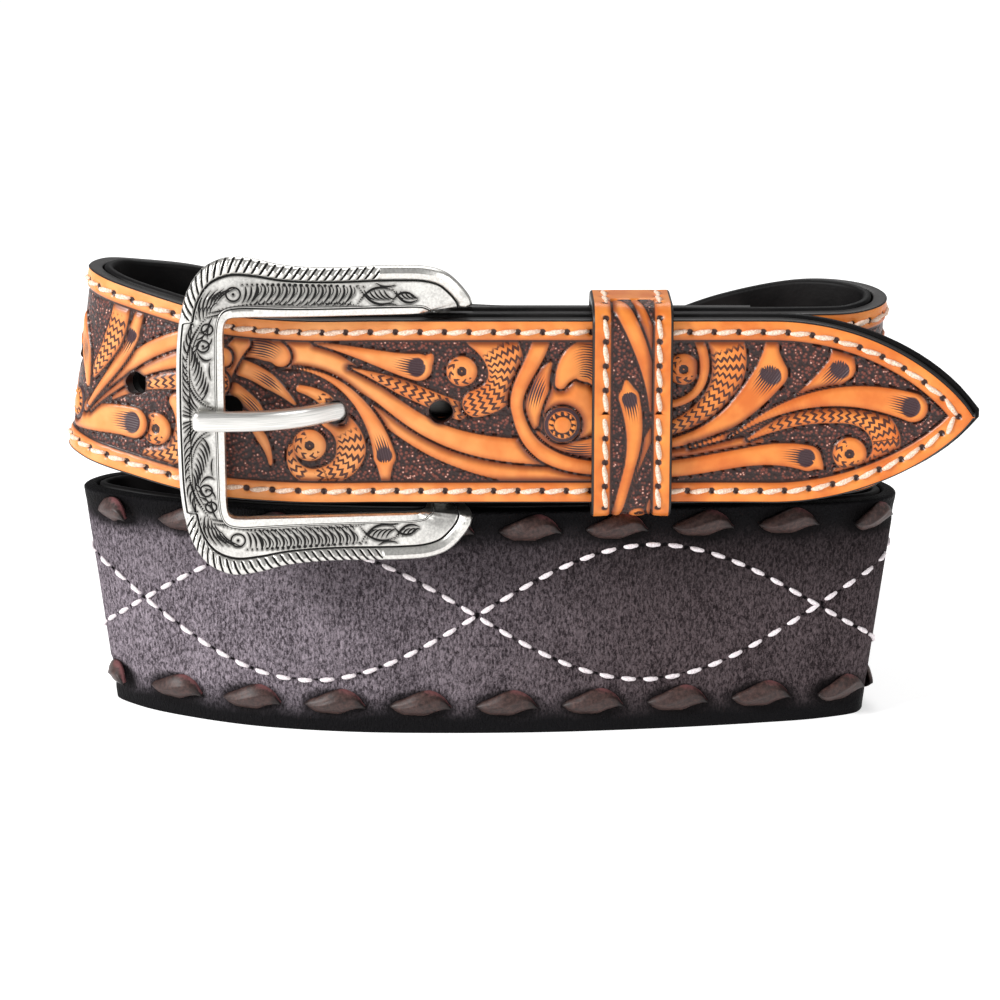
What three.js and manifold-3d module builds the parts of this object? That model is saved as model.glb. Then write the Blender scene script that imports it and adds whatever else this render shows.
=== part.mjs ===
// A western belt, buckled and coiled into two turns that stand on their lower edge.
// A wide dark body carries a narrower floral-tooled billet at each end, all on one black lining.
// The tip billet passes behind the buckle's frame, over its bar and through the keeper.
// The buckle billet folds round the bar and is held behind itself by two screws.
// Axes: X along the coil, Y away from the buckle, Z up. Origin: centre of the base.

import * as THREE from "three";
import Module from "manifold-3d";

const wasm = await Module();
wasm.setup();

// Strap sizes, in millimetres
const liningWidth = 38.6;
const blackEdge = 0.5;
const bodyWidth = 47.6;
const taperLength = 45;
const toolingThickness = 2.9;
const liningThickness = 1.8;
const layerGap = 0.3;
const edgeChamfer = 0.5;
const strapThickness = toolingThickness + layerGap + liningThickness;

// Lengths along the strap
const tipBilletLength = 262;
const buckleBilletLength = 152;
const tipPointLength = 40;
const tipInset = 0.7;
const sectionSpacing = 9;
const sectionTurn = 7;
const baseTrim = 0.3;

// Coil
const coilHalfLength = 84;
const coilHalfDepth = 26;
const layerClearance = 0.4;
const keeperThickness = 2.2;
const levelClearance = 0.3;

// Holes for the prong
const holeCount = 5;
const holeDiameter = 4.8;
const holeSpacing = 21;
const holeInUse = 1;
const holeSides = 12;

// Buckle
const barRadius = 2;
const barGap = 0.3;
const windowLength = 42.2;
const windowClearance = 1;
const rimWidth = 9.7;
const armWidth = 12.2;
const frameThickness = 3.4;
const frameLift = 5.4;
const ropeHeight = 0.55;
const ropePitch = 1.8;
const borderHeight = 0.3;

// Prong
const prongWidth = 4;
const prongThickness = 2.4;
const prongGap = 0.35;
const prongReach = 6.4;

// Keeper
const keeperWidth = 16;
const keeperPlace = 38;
const keeperClearance = 0.6;
const keeperSlack = 1;
const keeperTurn = 1;
const keeperChamfer = 0.5;

// Turned-back end of the buckle billet, and the screws that hold it
const turnbackLength = 62;
const liningSetback = 6.5;
const screwRadius = 2;
const screwHeadRadius = 4.5;
const screwHeadHeight = 1.3;
const screwGap = 0.3;
const screwPlaces = [22, 54];

// The coil's course, from the billet's tip to the buckle's bar, along the middle of the outer face.
// x and y are shares of coilHalfLength and coilHalfDepth. rise is 0 where the wide body stands on
// its edge and 1 on the upper turn. lean is in degrees, positive where the lower edge stands out.
// layer counts strap thicknesses outside the inner turn.
const courseColumns = ["x", "y", "rise", "lean", "layer"];
const courseTable = [
  [1.132, -1.1, 1, 0, 1],
  [0.92, -0.98, 1, 0, 1],
  [0.62, -0.93, 1, 0, 1],
  [0.32, -0.93, 1, 0, 1],
  [0.02, -0.93, 1, 0, 1],
  [-0.26, -0.93, 1, 0, 1],
  [-0.5, -0.92, 1, 0, 1],
  [-0.68, -0.86, 1.025, 1, 1],
  [-0.83, -0.68, 1.08, 4, 1],
  [-0.93, -0.46, 1.12, 7, 1],
  [-0.965, -0.22, 1.135, 8, 1],
  [-0.945, 0.02, 1.125, 7, 1],
  [-0.88, 0.19, 1.09, 5, 1],
  [-0.775, 0.34, 1.04, 3, 1],
  [-0.55, 0.48, 0.88, 0, 1],
  [-0.28, 0.55, 0.68, 0, 1],
  [0, 0.58, 0.5, 0, 1],
  [0.28, 0.56, 0.32, 0, 1],
  [0.52, 0.48, 0.16, 0, 1],
  [0.74, 0.32, 0.04, -2, 0.85],
  [0.88, 0.05, 0, -5, 0.45],
  [0.937, -0.22, 0, -7, 0],
  [0.905, -0.45, 0, -5, 0],
  [0.79, -0.6, 0, -3, 0],
  [0.62, -0.69, 0, -1, 0],
  [0.4, -0.79, 0, 0, 0],
  [0.146, -0.88, 0, 0, 0],
  [-0.12, -0.91, 0, 0, 0],
  [-0.367, -0.88, 0, 0, 0],
  [-0.587, -0.77, 0, -1, 0],
  [-0.76, -0.59, 0, -3, 0],
  [-0.91, -0.34, 0, -5, 0],
  [-1, -0.05, 0, -7, 0],
  [-0.975, 0.17, 0, -5, 0],
  [-0.895, 0.31, 0, -3, 0],
  [-0.77, 0.38, 0.01, -1, 0],
  [-0.6, 0.42, 0.1, 0, 0],
  [-0.36, 0.5, 0.28, 0, 0],
  [-0.1, 0.55, 0.47, 0, 0],
  [0.16, 0.52, 0.64, 0, 0],
  [0.4, 0.43, 0.79, 0, 0],
  [0.6, 0.33, 0.94, 0, 0],
  [0.77, 0.16, 1.02, 0, 0],
  [0.88, -0.08, 1.03, 0, 0],
  [0.925, -0.36, 1.02, 0, 0],
  [0.91, -0.66, 1.01, 0, 0],
  [0.84, -0.86, 1, 0, 0],
  [0.7, -0.93, 1, 0, 0],
  [0.5, -0.93, 1, 0, 0],
  [0.28, -0.93, 1, 0, 0],
  [0.06, -0.93, 1, 0, 0],
  [-0.146, -0.93, 1, 0, 0],
];

const UP = new THREE.Vector3(0, 0, 1);

function rowsOf(columns, table) {
  return table.map((row) => Object.fromEntries(columns.map((name, i) => [name, row[i]])));
}

// The strap's course: its curve, and the lean that goes with each row.
function makeCourse() {
  const rows = rowsOf(courseColumns, courseTable);
  const upperMiddle = bodyWidth + levelClearance * 2 + keeperThickness + liningWidth / 2;
  const flat = rows.map((row) => new THREE.Vector3(row.x * coilHalfLength, row.y * coilHalfDepth, 0));
  const points = rows.map((row, i) => {
    const before = flat[Math.max(i - 1, 0)];
    const after = flat[Math.min(i + 1, flat.length - 1)];
    const outward = new THREE.Vector3().crossVectors(UP, after.clone().sub(before)).normalize();
    const lowerMiddle = (bodyWidth / 2) * Math.cos(THREE.MathUtils.degToRad(row.lean)) - baseTrim;
    return flat[i]
      .clone()
      .addScaledVector(outward, row.layer * (strapThickness + layerClearance))
      .setZ(lowerMiddle + row.rise * (upperMiddle - lowerMiddle));
  });
  const curve = new THREE.CatmullRomCurve3(points, false, "centripetal");
  curve.arcLengthDivisions = 3000;
  const leans = new THREE.CatmullRomCurve3(rows.map((row) => new THREE.Vector3(row.lean, 0, 0)));
  return { curve, leans, length: curve.getLength() };
}

const course = makeCourse();

// The strap's own axes at a distance along its course, measured from the tip.
function strapAt(distance) {
  const share = THREE.MathUtils.clamp(distance / course.length, 0, 1);
  const along = course.curve.getTangentAt(share);
  const lean = THREE.MathUtils.degToRad(course.leans.getPoint(course.curve.getUtoTmapping(share)).x);
  const upright = UP.clone().addScaledVector(along, -UP.dot(along)).normalize();
  const level = new THREE.Vector3().crossVectors(upright, along);
  return {
    point: course.curve.getPointAt(share),
    along,
    across: upright.clone().multiplyScalar(Math.cos(lean)).addScaledVector(level, -Math.sin(lean)),
    out: level.multiplyScalar(Math.cos(lean)).addScaledVector(upright, Math.sin(lean)),
  };
}

// Half the lining's width: a pointed tip, then a narrow end, the wide body and the other narrow end.
function liningHalfWidth(distance, inset) {
  const fromTip = THREE.MathUtils.clamp((distance - inset) / tipPointLength, 0, 1);
  const point = Math.pow(1 - (1 - fromTip) ** 2, 0.78);
  const intoBody = Math.min(distance - tipBilletLength, course.length - buckleBilletLength - distance);
  const widening = THREE.MathUtils.smoothstep(intoBody, 0, taperLength);
  return ((liningWidth + (bodyWidth - liningWidth) * widening) / 2) * point;
}

function solidOf(geometry) {
  const position = geometry.getAttribute("position").array;
  const index = geometry.index.array;
  return new wasm.Manifold(
    new wasm.Mesh({
      numProp: 3,
      vertProperties: new Float32Array(position),
      triVerts: new Uint32Array(index),
    }),
  );
}

function geometryOf(solid) {
  const mesh = solid.getMesh();
  return new THREE.BufferGeometry()
    .setAttribute("position", new THREE.BufferAttribute(new Float32Array(mesh.vertProperties), 3))
    .setIndex(new THREE.BufferAttribute(new Uint32Array(mesh.triVerts), 1));
}

// A skin through rings of points, each ring in the same order. An open run gets a flat cap at each end.
function loft(rings, closed = false) {
  const size = rings[0].length;
  const spans = closed ? rings.length : rings.length - 1;
  const faces = [];
  for (let i = 0; i < spans; i++) {
    const here = i * size;
    const next = ((i + 1) % rings.length) * size;
    for (let j = 0; j < size; j++) {
      const k = (j + 1) % size;
      if (k) faces.push(here + j, next + j, next + k, here + j, next + k, here + k);
      else faces.push(here + j, next + j, here, here, next + j, next);
    }
  }
  const last = (rings.length - 1) * size;
  for (let j = 1; j < size - 1 && !closed; j++) {
    faces.push(0, j, j + 1, last, last + j + 1, last + j);
  }
  const points = rings.flat();
  const volume = faces.reduce((sum, corner, i) => {
    if (i % 3) return sum;
    const [a, b, c] = [corner, faces[i + 1], faces[i + 2]].map((n) => points[n]);
    return sum + a.dot(b.clone().cross(c));
  }, 0);
  if (volume < 0) faces.reverse();
  const geometry = new THREE.BufferGeometry().setFromPoints(points);
  geometry.setIndex(faces);
  return geometry;
}

// One section of a leather layer: its outer face has chamfered corners.
function section(outer, inner, across, halfWidth) {
  const thickness = outer.distanceTo(inner);
  const chamfer = Math.min(edgeChamfer, halfWidth / 2, thickness / 3);
  const shoulder = outer.clone().lerp(inner, chamfer / thickness);
  return [
    outer.clone().addScaledVector(across, halfWidth - chamfer),
    shoulder.clone().addScaledVector(across, halfWidth),
    inner.clone().addScaledVector(across, halfWidth),
    inner.clone().addScaledVector(across, -halfWidth),
    shoulder.clone().addScaledVector(across, -halfWidth),
    outer.clone().addScaledVector(across, chamfer - halfWidth),
  ];
}

// Distances along the course where every layer has a section, so that the layers bend alike. They
// stand closer together in the pointed tip and in the turns, and include each layer's ends.
function makeStations() {
  const ends = [
    tipInset,
    tipPointLength,
    tipBilletLength,
    tipBilletLength + layerGap,
    course.length - buckleBilletLength - layerGap,
    course.length - buckleBilletLength,
    course.length - liningSetback,
    course.length,
  ];
  const tipSections = 12;
  const places = [];
  for (let i = 0; i < tipSections; i++) places.push(tipPointLength * (i / tipSections) ** 2);
  const turnLimit = THREE.MathUtils.degToRad(sectionTurn);
  let place = tipPointLength;
  while (place < course.length) {
    places.push(place);
    const before = strapAt(place).along;
    let step = 1;
    while (step < sectionSpacing && before.angleTo(strapAt(place + step).along) < turnLimit) step += 0.5;
    place += step;
  }
  const closest = 0.6;
  const kept = places.filter((one) => ends.every((end) => Math.abs(end - one) > closest) || one === 0);
  return [...kept, ...ends].sort((a, b) => a - b);
}

const stations = makeStations();

function stationsBetween(start, end) {
  const rounding = 1e-6;
  return stations.filter((place) => place > start - rounding && place < end + rounding);
}

// A layer that runs along the course from start to end, between two depths below the outer face.
function layerRings(start, end, depthOuter, depthInner, halfWidthAt) {
  return stationsBetween(start, end).map((distance) => {
    const strap = strapAt(distance);
    return section(
      strap.point.clone().addScaledVector(strap.out, -depthOuter),
      strap.point.clone().addScaledVector(strap.out, -depthInner),
      strap.across,
      halfWidthAt(distance),
    );
  });
}

const TIP_NOSE = 0.35;
const barAt = strapAt(course.length);
const barDepth = toolingThickness + barGap + barRadius;
const barCentre = barAt.point.clone().addScaledVector(barAt.out, -barDepth);

// A point by the buckle: reach runs from the bar along the strap, lift out of its face and rise up.
function byBar(reach, lift, rise) {
  return barAt.point
    .clone()
    .addScaledVector(barAt.along, reach)
    .addScaledVector(barAt.out, lift)
    .addScaledVector(barAt.across, rise);
}

function toolingHalfWidth(distance) {
  return Math.max(liningHalfWidth(distance, tipInset) - blackEdge, TIP_NOSE);
}

function liningHalfWidthFull(distance) {
  return Math.max(liningHalfWidth(distance, 0), TIP_NOSE + blackEdge);
}

// The prong's middle line, from the hook round the bar to its end on the frame. The shank leaves the
// bar under the tip billet, climbs through the hole in use and lies on the frame's rim.
const prongColumns = ["reach", "lift"];
const prongTable = [
  [0.15, -0.01],
  [0.29, 0.1],
  [0.43, 0.42],
  [0.56, 0.75],
  [0.7, 0.94],
  [0.84, 1],
  [1, 1],
];
const prongCrossing = 0.43;
const prongLength = windowLength + prongReach;
const prongHookRadius = barRadius + prongGap + prongThickness / 2;
const rimLift = frameLift + strapThickness + layerClearance;

function prongRings(growth) {
  const middleLift = -barDepth + prongHookRadius;
  const restLift = rimLift + borderHeight + prongGap + prongThickness / 2;
  const hookSteps = 12;
  const hookSweep = Math.PI * 1.45;
  const line = [];
  for (let i = 0; i <= hookSteps; i++) {
    const angle = hookSweep * (1 - i / hookSteps);
    line.push([-prongHookRadius * Math.sin(angle), -barDepth + prongHookRadius * Math.cos(angle)]);
  }
  for (const row of rowsOf(prongColumns, prongTable)) {
    line.push([row.reach * prongLength, middleLift + row.lift * (restLift - middleLift)]);
  }
  const points = line.map(([reach, lift]) => new THREE.Vector3(reach, lift, 0));
  const curve = new THREE.CatmullRomCurve3(points, false, "centripetal");
  const steps = 44;
  const rings = [];
  for (let i = 0; i <= steps; i++) {
    const share = i / steps;
    const middle = curve.getPointAt(share);
    const direction = curve.getTangentAt(share);
    const normal = new THREE.Vector2(-direction.y, direction.x);
    const nose = share > 0.96 ? 0.72 : 1;
    const halfThickness = (prongThickness / 2) * nose + growth;
    const halfWidth = (prongWidth / 2) * nose + growth;
    rings.push(
      prongSection(halfThickness, halfWidth).map(([depth, rise]) =>
        byBar(middle.x + normal.x * depth, middle.y + normal.y * depth, rise),
      ),
    );
  }
  return rings;
}

// An eight-sided section with rounded front corners.
function prongSection(halfThickness, halfWidth) {
  const roundOff = 0.45;
  return [
    [halfThickness, halfWidth * (1 - roundOff)],
    [halfThickness * (1 - roundOff), halfWidth],
    [-halfThickness * (1 - roundOff), halfWidth],
    [-halfThickness, halfWidth * (1 - roundOff)],
    [-halfThickness, -halfWidth * (1 - roundOff)],
    [-halfThickness * (1 - roundOff), -halfWidth],
    [halfThickness * (1 - roundOff), -halfWidth],
    [halfThickness, -halfWidth * (1 - roundOff)],
  ];
}

// A round cutter or post across the strap at a distance along it, between two depths.
function postRings(distance, radius, depthFrom, depthTo, sides = holeSides) {
  const strap = strapAt(distance);
  return [depthFrom, depthTo].map((depth) =>
    Array.from({ length: sides }, (_, i) => {
      const angle = (2 * Math.PI * i) / sides;
      return strap.point
        .clone()
        .addScaledVector(strap.out, -depth)
        .addScaledVector(strap.along, radius * Math.cos(angle))
        .addScaledVector(strap.across, radius * Math.sin(angle));
    }),
  );
}

const cutMargin = 2;

// Where the prong crosses the tip billet, measured from the tip, and the other holes round it.
function prongHoleDistance() {
  const crossing = byBar(prongLength * prongCrossing, 0, 0);
  let best = 0;
  for (let distance = 0; distance < tipBilletLength; distance += 0.5) {
    const nearer = strapAt(distance).point.distanceTo(crossing) < strapAt(best).point.distanceTo(crossing);
    if (nearer) best = distance;
  }
  return best;
}

function cutHoles(solid) {
  const inUse = prongHoleDistance();
  let cut = solid.subtract(solidOf(loft(prongRings(prongGap))));
  for (let i = 0; i < holeCount; i++) {
    const place = inUse + (i - holeInUse) * holeSpacing;
    if (i === holeInUse) continue;
    cut = cut.subtract(
      solidOf(loft(postRings(place, holeDiameter / 2, -cutMargin, strapThickness + layerClearance / 2))),
    );
  }
  return cut;
}

function screwDistance(place) {
  return course.length - place;
}

// Room for the screws: a post through every layer and a sunk head under the tip billet.
function cutScrews(solid) {
  const turnbackFace = strapThickness + layerGap + toolingThickness;
  return screwPlaces.reduce((cut, place) => {
    const distance = screwDistance(place);
    const post = loft(postRings(distance, screwRadius + screwGap, -cutMargin, turnbackFace + cutMargin));
    const head = loft(
      postRings(distance, screwHeadRadius + screwGap, -cutMargin, screwHeadHeight + screwGap),
    );
    return cut.subtract(solidOf(post)).subtract(solidOf(head));
  }, solid);
}

// The lower edge, levelled where the belt stands on it.
function standing(solid) {
  return solid.trimByPlane([0, 0, 1], 0);
}

function lining() {
  const rings = layerRings(
    0,
    course.length - liningSetback,
    toolingThickness + layerGap,
    strapThickness,
    liningHalfWidthFull,
  );
  return geometryOf(standing(cutScrews(cutHoles(solidOf(loft(rings))))));
}

function tipBillet() {
  const rings = layerRings(tipInset, tipBilletLength, 0, toolingThickness, toolingHalfWidth);
  return geometryOf(cutHoles(solidOf(loft(rings))));
}

function bodyPanel() {
  const start = tipBilletLength + layerGap;
  const end = course.length - buckleBilletLength - layerGap;
  const rings = layerRings(start, end, 0, toolingThickness, liningHalfWidthFull);
  return geometryOf(standing(solidOf(loft(rings))));
}

// The buckle billet runs to the bar, folds round it and comes back behind the lining.
function buckleBillet() {
  const rings = layerRings(
    course.length - buckleBilletLength,
    course.length,
    0,
    toolingThickness,
    toolingHalfWidth,
  );
  const halfWidth = toolingHalfWidth(course.length);
  const foldSteps = 10;
  for (let i = 1; i <= foldSteps; i++) {
    const angle = (Math.PI * i) / foldSteps;
    const outward = barAt.out
      .clone()
      .multiplyScalar(Math.cos(angle))
      .addScaledVector(barAt.along, Math.sin(angle));
    const outer = barCentre.clone().addScaledVector(outward, barDepth);
    const inner = barCentre.clone().addScaledVector(outward, barRadius + barGap);
    rings.push(section(outer, inner, barAt.across, halfWidth));
  }
  const foldFace = 2 * barDepth;
  const restFace = strapThickness + layerGap + toolingThickness;
  const settleLength = 14;
  const turnbackSteps = 12;
  for (let i = 1; i <= turnbackSteps; i++) {
    const back = (turnbackLength * i) / turnbackSteps;
    const strap = strapAt(course.length - back);
    const settled = THREE.MathUtils.smoothstep(back, 0, settleLength);
    const face = THREE.MathUtils.lerp(foldFace, restFace, settled);
    const outer = strap.point.clone().addScaledVector(strap.out, -face);
    const inner = strap.point.clone().addScaledVector(strap.out, toolingThickness - face);
    rings.push(section(outer, inner, strap.across, halfWidth));
  }
  const hookReach = prongHookRadius + prongThickness / 2 + prongGap;
  const slotHalf = prongWidth / 2 + prongGap;
  const slot = slotBox(-hookReach, barDepth + cutMargin, -foldFace - cutMargin, cutMargin, slotHalf);
  return geometryOf(cutScrews(solidOf(loft(rings))).subtract(solidOf(loft(slot))));
}

// A box by the bar, as two rings of four corners.
function slotBox(reachFrom, reachTo, liftFrom, liftTo, halfHeight) {
  return [-halfHeight, halfHeight].map((rise) => [
    byBar(reachFrom, liftFrom, rise),
    byBar(reachTo, liftFrom, rise),
    byBar(reachTo, liftTo, rise),
    byBar(reachFrom, liftTo, rise),
  ]);
}

// Half of the buckle's outline, from the middle of its rim round the upper corner to the bar.
// innerReach and innerRise are shares of windowLength and of half the window's height, outerReach
// and outerRise shares of the frame's length and of half its height. lift is 1 at the rim and 0 at
// the bar, and bar is 1 on the round bar.
const frameColumns = ["innerReach", "innerRise", "outerReach", "outerRise", "lift", "bar"];
const frameTable = [
  [1, 0, 1, 0, 1, 0],
  [1, 0.3, 0.998, 0.22, 1, 0],
  [1, 0.6, 0.993, 0.44, 1, 0],
  [1, 0.82, 0.978, 0.63, 1, 0],
  [0.993, 0.94, 0.948, 0.795, 1, 0],
  [0.972, 0.99, 0.89, 0.93, 0.99, 0],
  [0.92, 1, 0.8, 0.997, 0.98, 0],
  [0.84, 1, 0.7, 0.985, 0.96, 0],
  [0.72, 1, 0.6, 0.945, 0.94, 0],
  [0.59, 1, 0.49, 0.925, 0.91, 0],
  [0.45, 1, 0.37, 0.92, 0.87, 0],
  [0.31, 1, 0.25, 0.925, 0.83, 0],
  [0.2, 1, 0.14, 0.925, 0.8, 0],
  [0.13, 1, 0.045, 0.915, 0.77, 0],
  [0.1, 1, -0.03, 0.875, 0.74, 0],
  [0.09, 1, -0.085, 0.795, 0.71, 0],
  [0.08, 1, -0.12, 0.71, 0.67, 0],
  [0.075, 1, -0.125, 0.655, 0.61, 0.06],
  [0.07, 1, -0.11, 0.645, 0.34, 0.38],
  [0.06, 0.98, -0.09, 0.63, 0.1, 0.8],
  [0.05, 0.955, -0.05, 0.6, 0, 1],
  [0.05, 0.4, -0.05, 0.24, 0, 1],
];
const ropeStartRow = 3;
const ropeEndRow = 11.5;

// The frame's section. share runs from its inner edge to its outer one, border and rope are the
// raised edges, lift is from the front face and turn is the corner's place round the bar in degrees.
const sectionColumns = ["share", "border", "rope", "lift", "turn"];
const sectionTable = [
  [0, 0, 0, -0.5, 5],
  [0.05, 1, 0, 0, 28],
  [0.16, 1, 0, 0, 50],
  [0.22, 0, 0, -0.1, 68],
  [0.77, 0, 0, -0.3, 108],
  [0.83, 0, 0, -0.45, 125],
  [0.88, 0, 1, -0.15, 143],
  [0.95, 0, 1, 0, 163],
  [1, 0, 1, -0.9, 190],
  [0.96, 0, 0, -frameThickness, 235],
  [0.05, 0, 0, -frameThickness, 310],
];

function frameRing(row, lobe) {
  const halfWindow = liningWidth / 2 + windowClearance;
  const frameLength = windowLength + rimWidth;
  const halfFrame = halfWindow + armWidth;
  const front = row.lift * (rimLift + barDepth) - barDepth;
  return rowsOf(sectionColumns, sectionTable).map((corner) => {
    const reach = THREE.MathUtils.lerp(
      row.innerReach * windowLength,
      row.outerReach * frameLength,
      corner.share,
    );
    const rise = THREE.MathUtils.lerp(row.innerRise * halfWindow, row.outerRise * halfFrame, corner.share);
    const lift = front + corner.lift + corner.border * borderHeight + corner.rope * lobe * ropeHeight;
    const turn = THREE.MathUtils.degToRad(corner.turn);
    return byBar(
      THREE.MathUtils.lerp(reach, barRadius * Math.cos(turn), row.bar),
      THREE.MathUtils.lerp(lift, barRadius * Math.sin(turn) - barDepth, row.bar),
      THREE.MathUtils.lerp(rise, row.innerRise * halfWindow, row.bar),
    );
  });
}

// The frame's rows between the table's, by a smooth curve through each column.
function frameRowAt(half, share) {
  const place = share * (half.length - 1);
  const first = Math.min(Math.floor(place), half.length - 2);
  const t = place - first;
  const row = {};
  for (const name of frameColumns) {
    const [a, b, c, d] = [first - 1, first, first + 1, first + 2].map(
      (i) => half[THREE.MathUtils.clamp(i, 0, half.length - 1)][name],
    );
    row[name] = b + 0.5 * t * (c - a + t * (2 * a - 5 * b + 4 * c - d + t * (3 * (b - c) + d - a)));
  }
  return row;
}

function buckleFrame() {
  const half = rowsOf(frameColumns, frameTable);
  const lastRow = half.length - 1;
  const rowSpacing = 5.3;
  const lobes = Math.round(((ropeEndRow - ropeStartRow) * rowSpacing) / ropePitch);
  const plain = 0.55;
  const marks = [0, 1, 2, 2.6].map((place) => ({ place, lobe: plain }));
  for (let i = 0; i <= 2 * lobes; i++) {
    marks.push({ place: THREE.MathUtils.lerp(ropeStartRow, ropeEndRow, i / (2 * lobes)), lobe: i % 2 });
  }
  for (let place = Math.ceil(ropeEndRow); place <= lastRow; place += 0.5) marks.push({ place, lobe: plain });
  const upper = marks.map(({ place, lobe }) => frameRing(frameRowAt(half, place / lastRow), lobe));
  const lower = marks
    .slice(1)
    .reverse()
    .map(({ place, lobe }) => frameRing(frameRowAt(half, place / lastRow), lobe).map(mirrorRise));
  return loft([...upper, ...lower], true);
}

// The same point on the other side of the strap's middle.
function mirrorRise(point) {
  const rise = point.clone().sub(barAt.point).dot(barAt.across);
  return point.clone().addScaledVector(barAt.across, -2 * rise);
}

function prong() {
  return loft(prongRings(0));
}

function roundedRectangle(path, halfX, halfY, radius) {
  path.moveTo(halfX - radius, -halfY);
  path.absarc(halfX - radius, radius - halfY, radius, -Math.PI / 2, 0, false);
  path.absarc(halfX - radius, halfY - radius, radius, 0, Math.PI / 2, false);
  path.absarc(radius - halfX, halfY - radius, radius, Math.PI / 2, Math.PI, false);
  path.absarc(radius - halfX, radius - halfY, radius, Math.PI, 1.5 * Math.PI, false);
  return path;
}

// The keeper: a stitched leather loop round both straps and the turned-back end.
function keeper(material) {
  const depth = 2 * strapThickness + layerClearance + layerGap + toolingThickness;
  const halfDepth = depth / 2 + keeperClearance;
  const halfHeight = (liningWidth + keeperSlack) / 2;
  const innerRadius = 2.5;
  const outerRadius = innerRadius + keeperThickness;
  const outline = roundedRectangle(
    new THREE.Shape(),
    halfDepth + keeperThickness,
    halfHeight + keeperThickness,
    outerRadius,
  );
  outline.holes.push(roundedRectangle(new THREE.Path(), halfDepth, halfHeight, innerRadius));
  const geometry = new THREE.ExtrudeGeometry(outline, {
    depth: keeperWidth - 2 * keeperChamfer,
    bevelThickness: keeperChamfer,
    bevelSize: keeperChamfer,
    bevelOffset: -keeperChamfer,
    bevelSegments: 1,
    curveSegments: 5,
  });
  geometry.translate(0, 0, keeperChamfer - keeperWidth / 2);
  const mesh = named("keeper", geometry, material);
  const strap = strapAt(course.length - keeperPlace);
  const middle = depth / 2 - strapThickness - layerClearance;
  mesh.position.copy(strap.point).addScaledVector(strap.out, -middle);
  mesh.position.addScaledVector(strap.across, keeperSlack / 2 - levelClearance);
  const axes = new THREE.Matrix4().makeBasis(strap.out, strap.across, strap.along);
  mesh.quaternion.setFromRotationMatrix(axes);
  mesh.rotateY(THREE.MathUtils.degToRad(keeperTurn));
  return mesh;
}

// A screw post with a sunk head at the front and a domed head on the turned-back end.
function foldScrew(place) {
  const distance = screwDistance(place);
  const face = strapThickness + layerGap + toolingThickness;
  const [front, seat] = postRings(distance, screwHeadRadius, screwGap, screwHeadHeight);
  const [neck, rear] = postRings(distance, screwRadius, screwHeadHeight, face + screwGap);
  const [under, dome] = postRings(
    distance,
    screwHeadRadius,
    face + screwGap,
    face + screwGap + screwHeadHeight * 0.6,
  );
  const crown = postRings(distance, screwHeadRadius * 0.7, 0, face + screwGap + screwHeadHeight)[1];
  return loft([front, seat, neck, rear, under, dome, crown]);
}

function named(name, geometry, material) {
  const mesh = new THREE.Mesh(geometry, material);
  mesh.name = name;
  return mesh;
}

const tooledLeather = new THREE.MeshStandardMaterial({ color: 0xd8843c, roughness: 0.45, metalness: 0 });
const darkLeather = new THREE.MeshStandardMaterial({ color: 0x4a4248, roughness: 0.9, metalness: 0 });
const blackLeather = new THREE.MeshStandardMaterial({ color: 0x17181a, roughness: 0.5, metalness: 0 });
const antiqueSilver = new THREE.MeshStandardMaterial({ color: 0xb9b9b4, roughness: 0.35, metalness: 1 });

const belt = new THREE.Group();
belt.add(named("body_panel", bodyPanel(), darkLeather));
belt.add(named("lining", lining(), blackLeather));
belt.add(named("tip_billet", tipBillet(), tooledLeather));
belt.add(named("buckle_billet", buckleBillet(), tooledLeather));
belt.add(named("buckle_frame", buckleFrame(), antiqueSilver));
belt.add(named("buckle_prong", prong(), antiqueSilver));
belt.add(keeper(tooledLeather));
screwPlaces.forEach((place, i) => {
  belt.add(named(`fold_screw_${i + 1}`, foldScrew(place), antiqueSilver));
});

// The origin is the centre of the base.
const bounds = new THREE.Box3().setFromObject(belt);
const middle = bounds.getCenter(new THREE.Vector3());
belt.position.set(-middle.x, -middle.y, -bounds.min.z);

export default belt;
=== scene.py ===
import math

import bpy
import numpy as np
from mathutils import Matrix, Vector


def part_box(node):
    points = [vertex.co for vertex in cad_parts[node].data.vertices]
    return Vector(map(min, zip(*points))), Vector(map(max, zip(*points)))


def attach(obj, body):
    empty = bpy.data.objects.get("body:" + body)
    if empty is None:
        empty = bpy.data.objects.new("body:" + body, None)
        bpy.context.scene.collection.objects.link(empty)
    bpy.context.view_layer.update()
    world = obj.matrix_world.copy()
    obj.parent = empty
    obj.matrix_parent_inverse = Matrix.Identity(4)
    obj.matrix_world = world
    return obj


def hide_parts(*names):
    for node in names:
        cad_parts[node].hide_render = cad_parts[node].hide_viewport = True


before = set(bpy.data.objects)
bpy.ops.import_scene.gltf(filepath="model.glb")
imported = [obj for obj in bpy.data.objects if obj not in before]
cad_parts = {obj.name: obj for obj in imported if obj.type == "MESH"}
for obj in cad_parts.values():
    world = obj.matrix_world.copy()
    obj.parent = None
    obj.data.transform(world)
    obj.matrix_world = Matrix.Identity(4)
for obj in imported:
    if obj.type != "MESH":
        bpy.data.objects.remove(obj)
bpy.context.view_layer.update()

# Studio: a pale floor under soft lights, with the camera at the photograph's height and distance,
# level with the buckle's side of the belt and looking slightly down on it.
camera_target = Vector((-0.0033, 0.0036, 0.0446))
camera_distance = 0.75
camera_elevation = math.radians(16)
frame_pixels = 1000
pixels_per_radian = 3622
sensor = 36

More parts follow.
